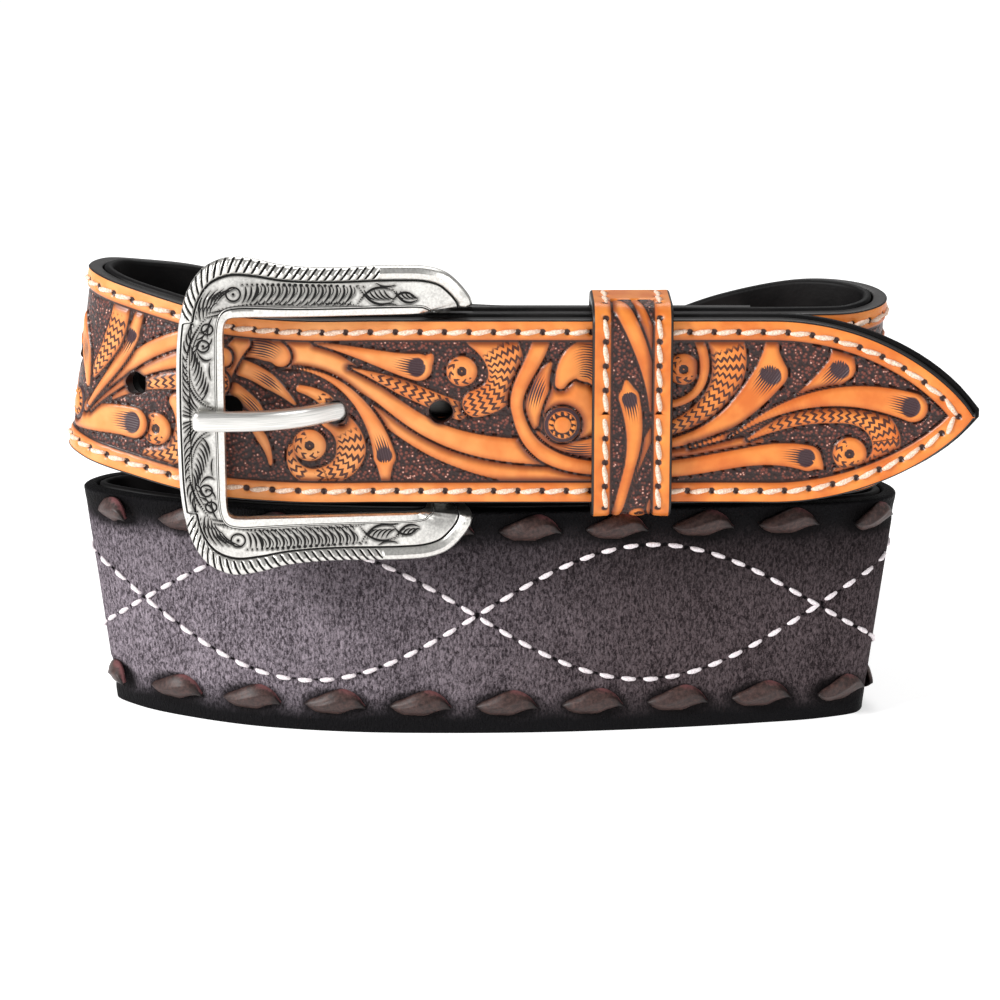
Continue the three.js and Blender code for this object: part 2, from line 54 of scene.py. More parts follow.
camera_data = bpy.data.cameras.new("camera")
camera_data.sensor_width = sensor
camera_data.lens = pixels_per_radian * sensor / frame_pixels
camera = bpy.data.objects.new("camera", camera_data)
view_back = Vector((0, -math.cos(camera_elevation), math.sin(camera_elevation)))
camera.location = camera_target + view_back * camera_distance
camera.rotation_mode = "QUATERNION"
camera.rotation_quaternion = (-view_back).to_track_quat("-Z", "Y")
bpy.context.scene.collection.objects.link(camera)
bpy.context.scene.camera = camera
bpy.context.scene.view_settings.view_transform = "Standard"

bpy.ops.object.select_all(action="DESELECT")
bpy.ops.mesh.primitive_plane_add(size=8)
floor = bpy.context.object
floor.name = "floor"
floor_paint = bpy.data.materials.new("floor_paint")
floor_paint.use_nodes = True
floor_shader = floor_paint.node_tree.nodes["Principled BSDF"]
floor_shader.inputs["Base Color"].default_value = (0.86, 0.86, 0.86, 1)
floor_shader.inputs["Roughness"].default_value = 0.9
floor_shader.inputs["Emission Color"].default_value = (1, 1, 1, 1)
floor_shader.inputs["Emission Strength"].default_value = 0.5
floor.data.materials.append(floor_paint)

sky = bpy.data.worlds.new("soft_white")
sky.use_nodes = True
sky.node_tree.nodes["Background"].inputs["Color"].default_value = (1, 1, 1, 1)
sky.node_tree.nodes["Background"].inputs["Strength"].default_value = 0.32
bpy.context.scene.world = sky

lamp_columns = ("x", "y", "z", "size", "power")
lamp_table = (
    (-0.98, -0.52, 0.62, 0.3, 16),
    (0.7, -0.7, 0.5, 0.4, 2.6),
    (0.1, 0.7, 1.0, 0.6, 4),
)
for row in lamp_table:
    lamp_row = dict(zip(lamp_columns, row))
    lamp_data = bpy.data.lights.new("softbox", "AREA")
    lamp_data.size = lamp_row["size"]
    lamp_data.energy = lamp_row["power"]
    lamp = bpy.data.objects.new("softbox", lamp_data)
    lamp.location = (lamp_row["x"], lamp_row["y"], lamp_row["z"])
    aim = camera_target - lamp.location
    lamp.rotation_euler = aim.to_track_quat("-Z", "Y").to_euler()
    bpy.context.scene.collection.objects.link(lamp)


# Lining: the black backing that the whole belt is built on. It is one strip of smooth leather,
# narrow at both ends and wide in the middle, with rounded, burnished edges. All the other layers
# follow its course round the coil, which this section works out. Sizes are in millimetres.
lining_width = 38.6
body_width = 47.6
base_trim = 0.3
taper_length = 45
tooling_thickness = 2.9
lining_thickness = 1.8
layer_gap = 0.3
layer_clearance = 0.4
strap_thickness = tooling_thickness + layer_gap + lining_thickness
tip_billet_length = 262
buckle_billet_length = 152
tip_point_length = 40
lining_setback = 6.5
level_clearance = 0.3
keeper_thickness = 2.2
coil_half_length = 84
coil_half_depth = 26

# From the belt's tip to the buckle's bar. x and y are shares of the coil's half length and half
# depth, rise is 0 on the lower turn and 1 on the upper one, lean is in degrees and layer counts
# strap thicknesses outside the inner turn.
course_columns = ("x", "y", "rise", "lean", "layer")
course_table = (
    (1.132, -1.1, 1, 0, 1),
    (0.92, -0.98, 1, 0, 1),
    (0.62, -0.93, 1, 0, 1),
    (0.32, -0.93, 1, 0, 1),
    (0.02, -0.93, 1, 0, 1),
    (-0.26, -0.93, 1, 0, 1),
    (-0.5, -0.92, 1, 0, 1),
    (-0.68, -0.86, 1.025, 1, 1),
    (-0.83, -0.68, 1.08, 4, 1),
    (-0.93, -0.46, 1.12, 7, 1),
    (-0.965, -0.22, 1.135, 8, 1),
    (-0.945, 0.02, 1.125, 7, 1),
    (-0.88, 0.19, 1.09, 5, 1),
    (-0.775, 0.34, 1.04, 3, 1),
    (-0.55, 0.48, 0.88, 0, 1),
    (-0.28, 0.55, 0.68, 0, 1),
    (0, 0.58, 0.5, 0, 1),
    (0.28, 0.56, 0.32, 0, 1),
    (0.52, 0.48, 0.16, 0, 1),
    (0.74, 0.32, 0.04, -2, 0.85),
    (0.88, 0.05, 0, -5, 0.45),
    (0.937, -0.22, 0, -7, 0),
    (0.905, -0.45, 0, -5, 0),
    (0.79, -0.6, 0, -3, 0),
    (0.62, -0.69, 0, -1, 0),
    (0.4, -0.79, 0, 0, 0),
    (0.146, -0.88, 0, 0, 0),
    (-0.12, -0.91, 0, 0, 0),
    (-0.367, -0.88, 0, 0, 0),
    (-0.587, -0.77, 0, -1, 0),
    (-0.76, -0.59, 0, -3, 0),
    (-0.91, -0.34, 0, -5, 0),
    (-1, -0.05, 0, -7, 0),
    (-0.975, 0.17, 0, -5, 0),
    (-0.895, 0.31, 0, -3, 0),
    (-0.77, 0.38, 0.01, -1, 0),
    (-0.6, 0.42, 0.1, 0, 0),
    (-0.36, 0.5, 0.28, 0, 0),
    (-0.1, 0.55, 0.47, 0, 0),
    (0.16, 0.52, 0.64, 0, 0),
    (0.4, 0.43, 0.79, 0, 0),
    (0.6, 0.33, 0.94, 0, 0),
    (0.77, 0.16, 1.02, 0, 0),
    (0.88, -0.08, 1.03, 0, 0),
    (0.925, -0.36, 1.02, 0, 0),
    (0.91, -0.66, 1.01, 0, 0),
    (0.84, -0.86, 1, 0, 0),
    (0.7, -0.93, 1, 0, 0),
    (0.5, -0.93, 1, 0, 0),
    (0.28, -0.93, 1, 0, 0),
    (0.06, -0.93, 1, 0, 0),
    (-0.146, -0.93, 1, 0, 0),
)


def smooth_through(points, shares):
    """A centripetal curve through the points, at shares of its run from 0 to 1."""
    ends = [2 * points[0] - points[1], *points, 2 * points[-1] - points[-2]]
    ends = np.array(ends, float)
    place = np.clip(shares * (len(points) - 1), 0, len(points) - 1 - 1e-9)
    first = place.astype(int)
    step = (place - first)[:, None]
    a, b, c, d = (ends[first + k] for k in range(4))
    middle = np.sqrt(np.linalg.norm(c - b, axis=1))
    middle = np.where(middle < 1e-4, 1, middle)
    before = np.sqrt(np.linalg.norm(b - a, axis=1))
    before = np.where(before < 1e-4, middle, before)[:, None]
    after = np.sqrt(np.linalg.norm(d - c, axis=1))
    after = np.where(after < 1e-4, middle, after)[:, None]
    middle = middle[:, None]
    leave = ((b - a) / before - (c - a) / (before + middle) + (c - b) / middle) * middle
    arrive = ((c - b) / middle - (d - b) / (middle + after) + (d - c) / after) * middle
    bend = -3 * b + 3 * c - 2 * leave - arrive
    twist = 2 * b - 2 * c + leave + arrive
    return b + leave * step + bend * step**2 + twist * step**3


def unit(vectors):
    return vectors / np.linalg.norm(vectors, axis=-1, keepdims=True)


course_rows = dict(zip(course_columns, np.array(course_table, float).T))
upper_middle = body_width + 2 * level_clearance + keeper_thickness + lining_width / 2
flat_course = np.stack(
    [
        course_rows["x"] * coil_half_length,
        course_rows["y"] * coil_half_depth,
        np.zeros(len(course_table)),
    ],
    axis=1,
)
skyward = np.array([0.0, 0.0, 1.0])
neighbours = np.concatenate([flat_course[:1], flat_course, flat_course[-1:]])
course_out = unit(np.cross(skyward, neighbours[2:] - neighbours[:-2]))
layer_step = (strap_thickness + layer_clearance) * course_rows["layer"]
course_points = flat_course + course_out * layer_step[:, None]
lower_middle = body_width / 2 * np.cos(np.radians(course_rows["lean"])) - base_trim
course_points[:, 2] = lower_middle + course_rows["rise"] * (upper_middle - lower_middle)

walk = np.linspace(0, 1, 9001)
strap_line = smooth_through(course_points, walk)
strap_lean = np.radians(smooth_through(course_rows["lean"][:, None], walk))
strap_steps = np.linalg.norm(np.diff(strap_line, axis=0), axis=1)
strap_reach = np.concatenate([[0], np.cumsum(strap_steps)])
strap_length = strap_reach[-1]
strap_along = unit(np.gradient(strap_line, axis=0))
strap_up = unit(skyward - strap_along * strap_along[:, 2:])
strap_level = np.cross(strap_up, strap_along)
strap_across = strap_up * np.cos(strap_lean) - strap_level * np.sin(strap_lean)
strap_out = strap_level * np.cos(strap_lean) + strap_up * np.sin(strap_lean)


def along_strap(table, distance):
    return np.stack([np.interp(distance, strap_reach, column) for column in table.T], axis=-1)


def on_strap(distance, across, depth):
    """Points at a distance from the tip, above the strap's middle and below its outer face."""
    point = along_strap(strap_line, distance)
    point = point + along_strap(strap_across, distance) * np.asarray(across)[..., None]
    return point - along_strap(strap_out, distance) * np.asarray(depth)[..., None]


def smooth_step(value, low, high):
    share = np.clip((value - low) / (high - low), 0, 1)
    return share * share * (3 - 2 * share)


def lining_half_width(distance, inset=0.0):
    from_tip = np.clip((distance - inset) / tip_point_length, 0, 1)
    point = (1 - (1 - from_tip) ** 2) ** 0.78
    body_end = strap_length - buckle_billet_length
    into_body = np.minimum(distance - tip_billet_length, body_end - distance)
    widening = smooth_step(into_body, 0, taper_length)
    return (lining_width + (body_width - lining_width) * widening) / 2 * point


# The solids' origin is the centre of their base. The keeper's solid shows how far the course moves.
keeper_place = 38
keeper_slack = 1
keeper_depth = 2 * strap_thickness + layer_clearance + layer_gap + tooling_thickness
keeper_middle = on_strap(
    np.array([strap_length - keeper_place]),
    np.array([keeper_slack / 2 - level_clearance]),
    np.array([keeper_depth / 2 - strap_thickness - layer_clearance]),
)[0]
keeper_box = [np.array(corner) * 1000 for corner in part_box("keeper")]
strap_line += (keeper_box[0] + keeper_box[1]) / 2 - keeper_middle


def strip(name, rows, columns, surface):
    """A grid wrapped into a closed strip. surface gives its places and the values it carries."""
    bpy.ops.object.select_all(action="DESELECT")
    bpy.ops.mesh.primitive_grid_add(x_subdivisions=rows, y_subdivisions=columns, size=1)
    piece = bpy.context.object
    piece.name = name
    flat = np.empty(len(piece.data.vertices) * 3, np.float32)
    piece.data.vertices.foreach_get("co", flat)
    flat = flat.reshape(-1, 3)
    along = np.round((flat[:, 0] + 0.5) * rows) / rows
    around = np.round((flat[:, 1] + 0.5) * columns).astype(int)
    places, carried = surface(along, around)
    piece.data.vertices.foreach_set("co", (places * 0.001).astype(np.float32).ravel())
    for label, values in carried.items():
        layer = piece.data.attributes.new(label, "FLOAT", "POINT")
        layer.data.foreach_set("value", values.astype(np.float32))
    bpy.ops.object.mode_set(mode="EDIT")
    bpy.ops.mesh.select_all(action="SELECT")
    bpy.ops.mesh.remove_doubles(threshold=1e-6)
    bpy.ops.mesh.fill_holes(sides=0)
    bpy.ops.mesh.select_all(action="SELECT")
    bpy.ops.mesh.normals_make_consistent(inside=False)
    bpy.ops.object.mode_set(mode="OBJECT")
    bpy.ops.object.shade_smooth_by_angle(angle=math.radians(50))
    return piece


def strap_section(front_columns, back_columns, outer, inner, corner):
    """A strap's section: a share of its flat half width, an offset from it, a depth and its side."""
    corner_steps = 4
    turns = np.linspace(0, math.pi / 2, corner_steps + 1)[1:-1]
    shares = [*np.linspace(-1, 1, front_columns)]
    offsets = [0.0] * front_columns
    depths = [outer] * front_columns
    sides = [0.0] * front_columns
    rims = [
        (1, corner * np.sin(turns), outer + corner * (1 - np.cos(turns))),
        (1, [corner], [outer + corner]),
        (1, corner * np.cos(turns), inner - corner * (1 - np.sin(turns))),
    ]
    for share, offset, depth in rims:
        shares += [share] * len(offset)
        offsets += list(offset)
        depths += list(depth)
        sides += [1.0] * len(offset)
    shares += [*np.linspace(1, -1, back_columns)]
    offsets += [0.0] * back_columns
    depths += [inner] * back_columns
    sides += [2.0] * back_columns
    for share, offset, depth in reversed(rims):
        shares += [-share] * len(offset)
        offsets += list(-np.array(offset))[::-1]
        depths += list(depth)[::-1]
        sides += [1.0] * len(offset)
    closing = (shares[0], offsets[0], depths[0], sides[0])
    return [np.array([*values, end]) for values, end in zip((shares, offsets, depths, sides), closing)]


def strap_strip(name, start, end, row_length, section, half_width, relief=None):
    """One layer of the belt from start to end, with the relief of its face."""
    shares, offsets, depths, sides = section
    corner = np.abs(offsets).max()
    rows = int((end - start) / row_length)

    def surface(along, around):
        distance = start + (end - start) * along
        flat_half = np.maximum(half_width(distance) - corner, 0)
        across = shares[around] * flat_half + offsets[around]
        depth = depths[around]
        side = sides[around]
        carried = {"along": distance, "across": across, "side": side}
        carried["rim"] = flat_half + corner - np.abs(across)
        if relief is not None:
            sunk, more = relief(distance, across, side)
            depth = depth + sunk
            carried.update(more)
        return on_strap(distance, across, depth), carried

    return strip(name, rows, len(shares) - 1, surface)


lining_section = strap_section(
    13, 9, tooling_thickness + layer_gap, strap_thickness, lining_thickness / 2 - 0.1
)
lining = strap_strip(
    "belt_lining", 0.02, strap_length - lining_setback, 2, lining_section, lining_half_width
)


class Wire:
    """One value in a material. Arithmetic on wires adds Math nodes, and node adds any other."""

    def __init__(self, tree, socket=None):
        self.tree = tree
        self.socket = socket

    def node(self, kind, settings, sockets, output=0):
        made = self.tree.nodes.new("ShaderNode" + kind)
        for label, value in settings.items():
            setattr(made, label, value)
        for label, value in sockets.items():
            if isinstance(value, Wire):
                self.tree.links.new(value.socket, made.inputs[label])
            else:
                made.inputs[label].default_value = value
        return Wire(self.tree, made.outputs[output])

    def maths(self, operation, *values):
        return self.node("Math", {"operation": operation}, dict(enumerate(values)))

    def __add__(self, other):
        return self.maths("ADD", self, other)

    def __sub__(self, other):
        return self.maths("SUBTRACT", self, other)

    def __rsub__(self, other):
        return self.maths("SUBTRACT", other, self)

    def __mul__(self, other):
        return self.maths("MULTIPLY", self, other)

    def __truediv__(self, other):
        return self.maths("DIVIDE", self, other)

    __radd__ = __add__
    __rmul__ = __mul__

    def rises(self, low, high):
        """0 below low, 1 above high and smooth between them."""
        settings = {"interpolation_type": "SMOOTHSTEP"}
        return self.node("MapRange", settings, {"Value": self, "From Min": low, "From Max": high})

    def carried(self, label):
        return self.node("Attribute", {"attribute_name": label}, {}, "Fac")

    def mix(self, first, second):
        """The first colour where this wire is 0 and the second where it is 1."""
        settings = {"data_type": "RGBA"}
        return self.node("Mix", settings, {"Factor": self, 6: first, 7: second}, 2)

    def noise(self, grain, detail=2.0, rough=0.5):
        """Noise whose patches are about grain millimetres across."""
        place = self.node("TexCoord", {}, {}, "Object")
        sockets = {"Vector": place, "Scale": 1000 / grain, "Detail": detail, "Roughness": rough}
        return self.node("TexNoise", {}, sockets, "Fac")

    def cells(self, grain):
        """How far each place lies from the middle of its cell, in cells about grain millimetres across."""
        place = self.node("TexCoord", {}, {}, "Object")
        return self.node("TexVoronoi", {}, {"Vector": place, "Scale": 1000 / grain}, "Distance")

    def bump(self, strength, depth):
        """This wire as a height, depth millimetres from 0 to 1."""
        sockets = {"Height": self, "Strength": strength, "Distance": depth * 0.001}
        return self.node("Bump", {}, sockets, "Normal")


def paint(red, green, blue):
    """A colour as a painter reads it off, from 0 to 255, as the renderer wants it."""
    parts = [channel / 255 for channel in (red, green, blue)]
    linear = [((part + 0.055) / 1.055) ** 2.4 if part > 0.04045 else part / 12.92 for part in parts]
    return (*linear, 1)


def finish_named(name, metallic=0.0, roughness=0.5, coat=0.0, shine=0.3):
    """A new material, its surface shader's sockets and a wire to start from."""
    finish = bpy.data.materials.new(name)
    finish.use_nodes = True
    surface = finish.node_tree.nodes["Principled BSDF"]
    surface.inputs["Metallic"].default_value = metallic
    surface.inputs["Roughness"].default_value = roughness
    surface.inputs["Coat Weight"].default_value = coat
    surface.inputs["Specular IOR Level"].default_value = shine
    surface.inputs["Coat Roughness"].default_value = 0.25
    return finish, surface, Wire(finish.node_tree)


def lead(surface, **wires):
    """Joins wires to the surface's sockets, such as base_color to Base Color."""
    for label, wire in wires.items():
        socket = surface.inputs[label.replace("_", " ").title()]
        surface.id_data.links.new(wire.socket, socket)


black_leather, surface, wire = finish_named("black_leather", shine=0.14)
black_grain = wire.noise(0.7, 4)
black_wear = wire.noise(9, 3)
lead(
    surface,
    base_color=black_wear.rises(0.35, 0.75).mix(paint(10, 9, 10), paint(24, 22, 22)),
    roughness=0.4 + 0.25 * black_wear,
    normal=(black_grain + 0.4 * wire.cells(0.9)).bump(0.35, 0.12),
)
lining.data.materials.append(black_leather)
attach(lining, "root")
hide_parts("lining")


# Body panel: the wide middle of the belt, matt grey nubuck with a pebbled nap that is rubbed dark
# along both edges. It is glued on the lining and meets the tooled ends in butt joints. The needle
# holes of its two crossing seams are pricked in it and painted dark as painted shade, and the laces
# press it down, with painted shade round them. It is painted darker under the overhanging upper
# turn, partly dye and partly painted shadow.
wave_pitch = 4.6
wave_half_length = 70.6
wave_height = 14.4
wave_rise = 1.8
wave_crossing = -8.1
lace_pitch = 17.7
lace_length = 12.6
lace_height = 1.9
lace_depth = 0.5
lace_margin = 8
pressed_half_width = 3.4
lower_lace_inset = 6.3
upper_lace_inset = 3.9
lower_lace_at = -1.9
upper_lace_at = 2.9
nubuck_section = strap_section(61, 3, 0, tooling_thickness, 0.7)
body_start = tip_billet_length + layer_gap
body_end = strap_length - buckle_billet_length - layer_gap
front_run = (strap_line[:, 2] < body_width / 2 + 1) & (strap_line[:, 1] < 0)
front_rows = np.nonzero(front_run & (strap_reach > body_start))[0]


def nearest_front(x):
    return strap_reach[front_rows[np.argmin(np.abs(strap_line[front_rows, 0] - x))]]


crossing_reach = nearest_front(wave_crossing)
wave_walk = np.linspace(body_start + 3, body_end - 3, 6000)


def wave_at(distance, side):
    """How high one of the two seams runs."""
    narrowed = lining_half_width(distance) / (body_width / 2)
    turn = math.pi * (distance - crossing_reach) / wave_half_length
    return narrowed * (wave_rise + side * wave_height * np.sin(turn))


wave_reach = {}
for side in (-1, 1):
    steps = np.hypot(np.diff(wave_walk), np.diff(wave_at(wave_walk, side)))
    wave_reach[side] = np.concatenate([[0], np.cumsum(steps)])


def lace_places(side):
    """Where the laces of one edge lie: along the belt and above its middle."""
    start = nearest_front(lower_lace_at if side < 0 else upper_lace_at)
    first = math.ceil((body_start + lace_margin - start) / lace_pitch)
    last = math.floor((body_end - lace_margin - start) / lace_pitch)
    distance = start + np.arange(first, last + 1) * lace_pitch
    inset = lower_lace_inset if side < 0 else upper_lace_inset
    return distance, side * (lining_half_width(distance) - inset)


def nap(distance, across, side):
    """A light swell in the leather, the way to the nearest seam and along it, and where the laces press it
    down, which the material also darkens as painted shade.
    """
    swell = 0.08 * np.sin(distance / 11) * np.cos(across / 9 + distance / 23)
    gaps = []
    runs = []
    for seam in (-1, 1):
        rise = across - wave_at(distance, seam)
        slope = wave_at(distance + 0.5, seam) - wave_at(distance - 0.5, seam)
        gaps.append(np.abs(rise) / np.hypot(1, slope))
        foot = distance + rise * slope / (1 + slope**2)
        runs.append(np.interp(foot, wave_walk, wave_reach[seam]) / wave_pitch)
    nearer = gaps[0] < gaps[1]
    pressed = np.zeros(distance.shape)
    for edge in (-1, 1):
        for lace_distance, lace_across in zip(*lace_places(edge)):
            near = np.nonzero(np.abs(distance - lace_distance) < lace_length)[0]
            ahead = (distance[near] - lace_distance) / (lace_length / 2 + 0.9)
            aside = (across[near] - lace_across) / pressed_half_width
            pressed[near] = np.maximum(pressed[near], 1 - smooth_step(ahead**2 + aside**2, 0.55, 1.35))
    carried = {
        "pressed": pressed * (side == 0),
        "seam_gap": np.where(side == 0, np.where(nearer, gaps[0], gaps[1]), 9),
        "seam_run": np.where(nearer, runs[0], runs[1]),
    }
    return np.where(side == 0, 0.08 + swell + 0.3 * pressed, 0), carried


body_panel = strap_strip(
    "nubuck_body", body_start, body_end, 1, nubuck_section, lining_half_width, nap
)

nubuck, surface, wire = finish_named("nubuck", roughness=0.9, shine=0.06)
place = wire.node("TexCoord", {}, {}, "Object")
stretched = wire.node("Mapping", {}, {"Vector": place, "Scale": (2200, 2200, 1050)})
crease_sockets = {"Vector": stretched, "Scale": 1, "Detail": 3, "Distortion": 0.6}
creases = wire.node("TexNoise", {}, crease_sockets, "Fac")
nap_fine = wire.noise(0.3, 3, 0.6)
nap_patch = wire.noise(9, 4, 0.6)
nap_light = 0.65 * creases + 0.35 * nap_fine
rubbed = 1 - (wire.carried("rim") + 4 * (nap_patch - 0.5)).rises(2.6, 9.5)
nap_light = nap_light + 0.16 * (nap_patch - 0.5)
grey = nap_light.rises(0.34, 0.7).mix(paint(54, 48, 53), paint(158, 147, 156))
brown = nap_light.rises(0.34, 0.7).mix(paint(32, 26, 28), paint(102, 90, 93))
# Lighter and greyer to the left, darker and browner to the right: partly the nap's tone and partly painted
# light falling from the left.
greyer = wire.carried("along").rises(crossing_reach - 45, crossing_reach + 55)
grey = greyer.mix(brown, grey)
# Darker towards the upper edge, most to the right: partly dye and partly painted shadow under the
# overhanging upper turn.
dye_and_shadow = (1 - 0.6 * greyer) * (wire.carried("across") + 8 * (nap_patch - 0.5)).rises(-4, 21)
grey = (0.7 * dye_and_shadow).mix(grey, paint(18, 15, 16))
# The needle holes of the wave seams are painted near black: painted shade in the holes.
seam_share = wire.maths("FRACT", wire.carried("seam_run"))
seam_hole = (0.5 - wire.maths("ABSOLUTE", seam_share - 0.5)) * wave_pitch
hole = 1 - wire.maths("MAXIMUM", seam_hole / 0.6, wire.carried("seam_gap") / 0.42).rises(0.5, 1)
colour = rubbed.mix(grey, paint(16, 15, 17))
# Round each lace the nap is painted near black: painted shade where the lace presses the leather down.
colour = (0.85 * wire.carried("pressed")).mix(colour, paint(16, 14, 15))
lead(
    surface,
    base_color=hole.mix(colour, paint(14, 12, 14)),
    roughness=0.95 - 0.4 * rubbed,
    normal=(1.7 * creases + 0.5 * nap_fine - 1.5 * hole).bump(0.9, 0.38),
)
body_panel.data.materials.append(nubuck)
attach(body_panel, "root")
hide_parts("body_panel")


# Wave stitching: two rows of white thread that cross along the body in mirrored waves. Each stitch
# is a short laid thread that dips into its needle holes at both ends.
thread_length = 3.3
thread_radius = 0.47
thread_rise = 0.15


def many(name, pattern, middles, along, sideways, out):
    """One joined mesh of copies of a pattern piece, each turned to its own directions."""
    spots = np.empty(len(pattern.data.vertices) * 3, np.float32)
    pattern.data.vertices.foreach_get("co", spots)
    spots = spots.reshape(-1, 3)
    faces = [tuple(face.vertices) for face in pattern.data.polygons]
    places = (
        middles[:, None]
        + along[:, None] * spots[None, :, :1]
        + sideways[:, None] * spots[None, :, 1:2]
        + out[:, None] * spots[None, :, 2:]
    )
    count = len(middles)
    joined = bpy.data.meshes.new(name)
    steps = [tuple(i + k * len(spots) for i in face) for k in range(count) for face in faces]
    joined.from_pydata((places.reshape(-1, 3) * 0.001).tolist(), [], steps)
    joined.polygons.foreach_set("use_smooth", [True] * len(steps))
    for layer in pattern.data.attributes:
        if layer.data_type == "FLOAT" and layer.domain == "POINT":
            values = np.empty(len(spots), np.float32)
            layer.data.foreach_get("value", values)
            copied = joined.attributes.new(layer.name, "FLOAT", "POINT")
            copied.data.foreach_set("value", np.tile(values, count))
    pieces = bpy.data.objects.new(name, joined)
    bpy.context.scene.collection.objects.link(pieces)
    bpy.data.objects.remove(pattern)
    return pieces


def thread_pattern(length, radius, slant):
    """One laid stitch: two plies that bow up, slant across the seam and end below the leather."""
    bpy.ops.object.select_all(action="DESELECT")
    bpy.ops.mesh.primitive_uv_sphere_add(segments=10, ring_count=8, radius=1)
    stitch = bpy.context.object
    places = np.array([vertex.co for vertex in stitch.data.vertices])
    share = places[:, 2].copy()
    round_end = np.sqrt(np.clip(1 - np.abs(share) ** 5, 0, 1))
    reach = np.hypot(places[:, 0], places[:, 1])
    turn = np.arctan2(places[:, 1], places[:, 0])
    twist = 1 + 0.16 * np.cos(2 * turn - 5 * share)
    size = radius * round_end * twist * (reach > 1e-6)
    laid = np.stack(
        [
            share * length / 2,
            size * np.cos(turn) + share * length / 2 * math.tan(math.radians(slant)),
            size * 0.85 * np.sin(turn) - 1.3 * radius * np.abs(share) ** 4,
        ],
        axis=1,
    )
    stitch.data.vertices.foreach_set("co", laid.astype(np.float32).ravel())
    return stitch


def stitch_row(distance, across, rise):
    """Where stitches lie along a row of points, and their directions."""
    points = on_strap(distance, across, np.full(len(distance), -rise))
    run = unit(np.gradient(points, axis=0))
    out = along_strap(strap_out, distance)
    return points, run, unit(np.cross(out, run)), out


threads = []
for side in (-1, 1):
    stops = np.arange(0.5, wave_reach[side][-1] / wave_pitch) * wave_pitch
    distance = np.interp(stops, wave_reach[side], wave_walk)
    threads.append((distance, wave_at(distance, side)))
rows = [stitch_row(distance, across, thread_rise) for distance, across in threads]
wave_threads = many(
    "wave_threads",
    thread_pattern(thread_length, thread_radius, 0),
    *[np.concatenate(parts) for parts in zip(*rows)],
)
white_thread, surface, wire = finish_named("white_thread", roughness=0.75)
fibre = wire.noise(0.35, 3)
lead(
    surface,
    base_color=fibre.rises(0.3, 0.75).mix(paint(214, 202, 206), paint(252, 246, 248)),
    normal=fibre.bump(0.5, 0.08),
)
wave_threads.data.materials.append(white_thread)
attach(wave_threads, "root")


# Buck-stitch lacing: flat brown laces along both edges of the body. Each stitch comes up through
# a slit, lies twisted on the leather like a narrow leaf, and goes down at its hooked end.
# A lace seen from above, from its broad end to its hooked one, in shares of its length and in
# millimetres. middle is the height of its middle line, and roll turns it about that line.
lace_columns = ("share", "middle", "width", "roll")
lace_table = (
    (0, -0.2, 0.4, 8),
    (0.08, -0.3, 2, 10),
    (0.22, -0.35, 3.7, 14),
    (0.4, 0.1, 5, 14),
    (0.57, 0.5, 5.4, 4),
    (0.74, 0.9, 4.4, -14),
    (0.89, 0.5, 2.8, -30),
    (1, -0.6, 0.7, -40),
)


def smooth_rows(table, place):
    """The table's rows between its own, by a smooth curve through each column."""
    table = np.array(table, float)
    first = np.minimum(place.astype(int), len(table) - 2)
    t = (place - first)[:, None]
    a, b, c, d = (table[np.clip(first + k, 0, len(table) - 1)] for k in (-1, 0, 1, 2))
    return b + 0.5 * t * (c - a + t * (2 * a - 5 * b + 4 * c - d + t * (3 * (b - c) + d - a)))


def lace_pattern():
    """One twisted lace: a grid pinched at its ends, rounded over and rolled, and given thickness."""
    bpy.ops.object.select_all(action="DESELECT")
    bpy.ops.mesh.primitive_grid_add(x_subdivisions=24, y_subdivisions=14, size=1)
    lace = bpy.context.object
    flat = np.array([vertex.co for vertex in lace.data.vertices])
    t = flat[:, 0] + 0.5
    q = flat[:, 1] * 2
    table = np.array(lace_table, float)
    place = np.interp(t, table[:, 0], np.arange(len(table)))
    row = dict(zip(lace_columns, smooth_rows(table, place).T))
    roll = np.radians(row["roll"])
    half = row["width"] / 2
    bow = np.sin(math.pi * np.clip(t, 0.02, 0.98)) ** 0.5
    dome = lace_height * bow * (1 - 0.85 * np.abs(q) ** 2.2)
    ridge = 0.4 * np.exp(-(((q + 0.15 - t * 0.5) / 0.16) ** 2)) * np.sin(math.pi * t)
    x = (0.5 - t) * lace_length
    y = -(row["middle"] + q * half * np.cos(roll))
    z = dome + ridge + q * half * np.sin(roll) * 0.7 - 0.35
    lace.data.vertices.foreach_set("co", np.stack([x, y, z], 1).astype(np.float32).ravel())
    edge = lace.data.attributes.new("edge", "FLOAT", "POINT")
    edge.data.foreach_set("value", (q * smooth_step(t, 0.3, 0.7)).astype(np.float32))
    # shade: painted shade towards both ends, where the lace goes down into its slits.
    shade = lace.data.attributes.new("shade", "FLOAT", "POINT")
    shade.data.foreach_set("value", smooth_step(np.abs(t - 0.47), 0.3, 0.52).astype(np.float32))
    bpy.ops.object.mode_set(mode="EDIT")
    bpy.ops.mesh.select_all(action="SELECT")
    bpy.ops.mesh.extrude_region()
    bpy.ops.transform.translate(value=(0, 0, -lace_depth))
    bpy.ops.mesh.select_all(action="SELECT")
    bpy.ops.mesh.normals_make_consistent(inside=False)
    bpy.ops.object.mode_set(mode="OBJECT")
    return lace


rows = [stitch_row(*lace_places(side), 0.0) for side in (-1, 1)]
laces = many(
    "buck_stitch_lacing",
    lace_pattern(),
    *[np.concatenate(parts) for parts in zip(*rows)],
)
lace_leather, surface, wire = finish_named("lace_leather", roughness=0.5, shine=0.4)
lace_grain = wire.noise(0.8, 5, 0.6)
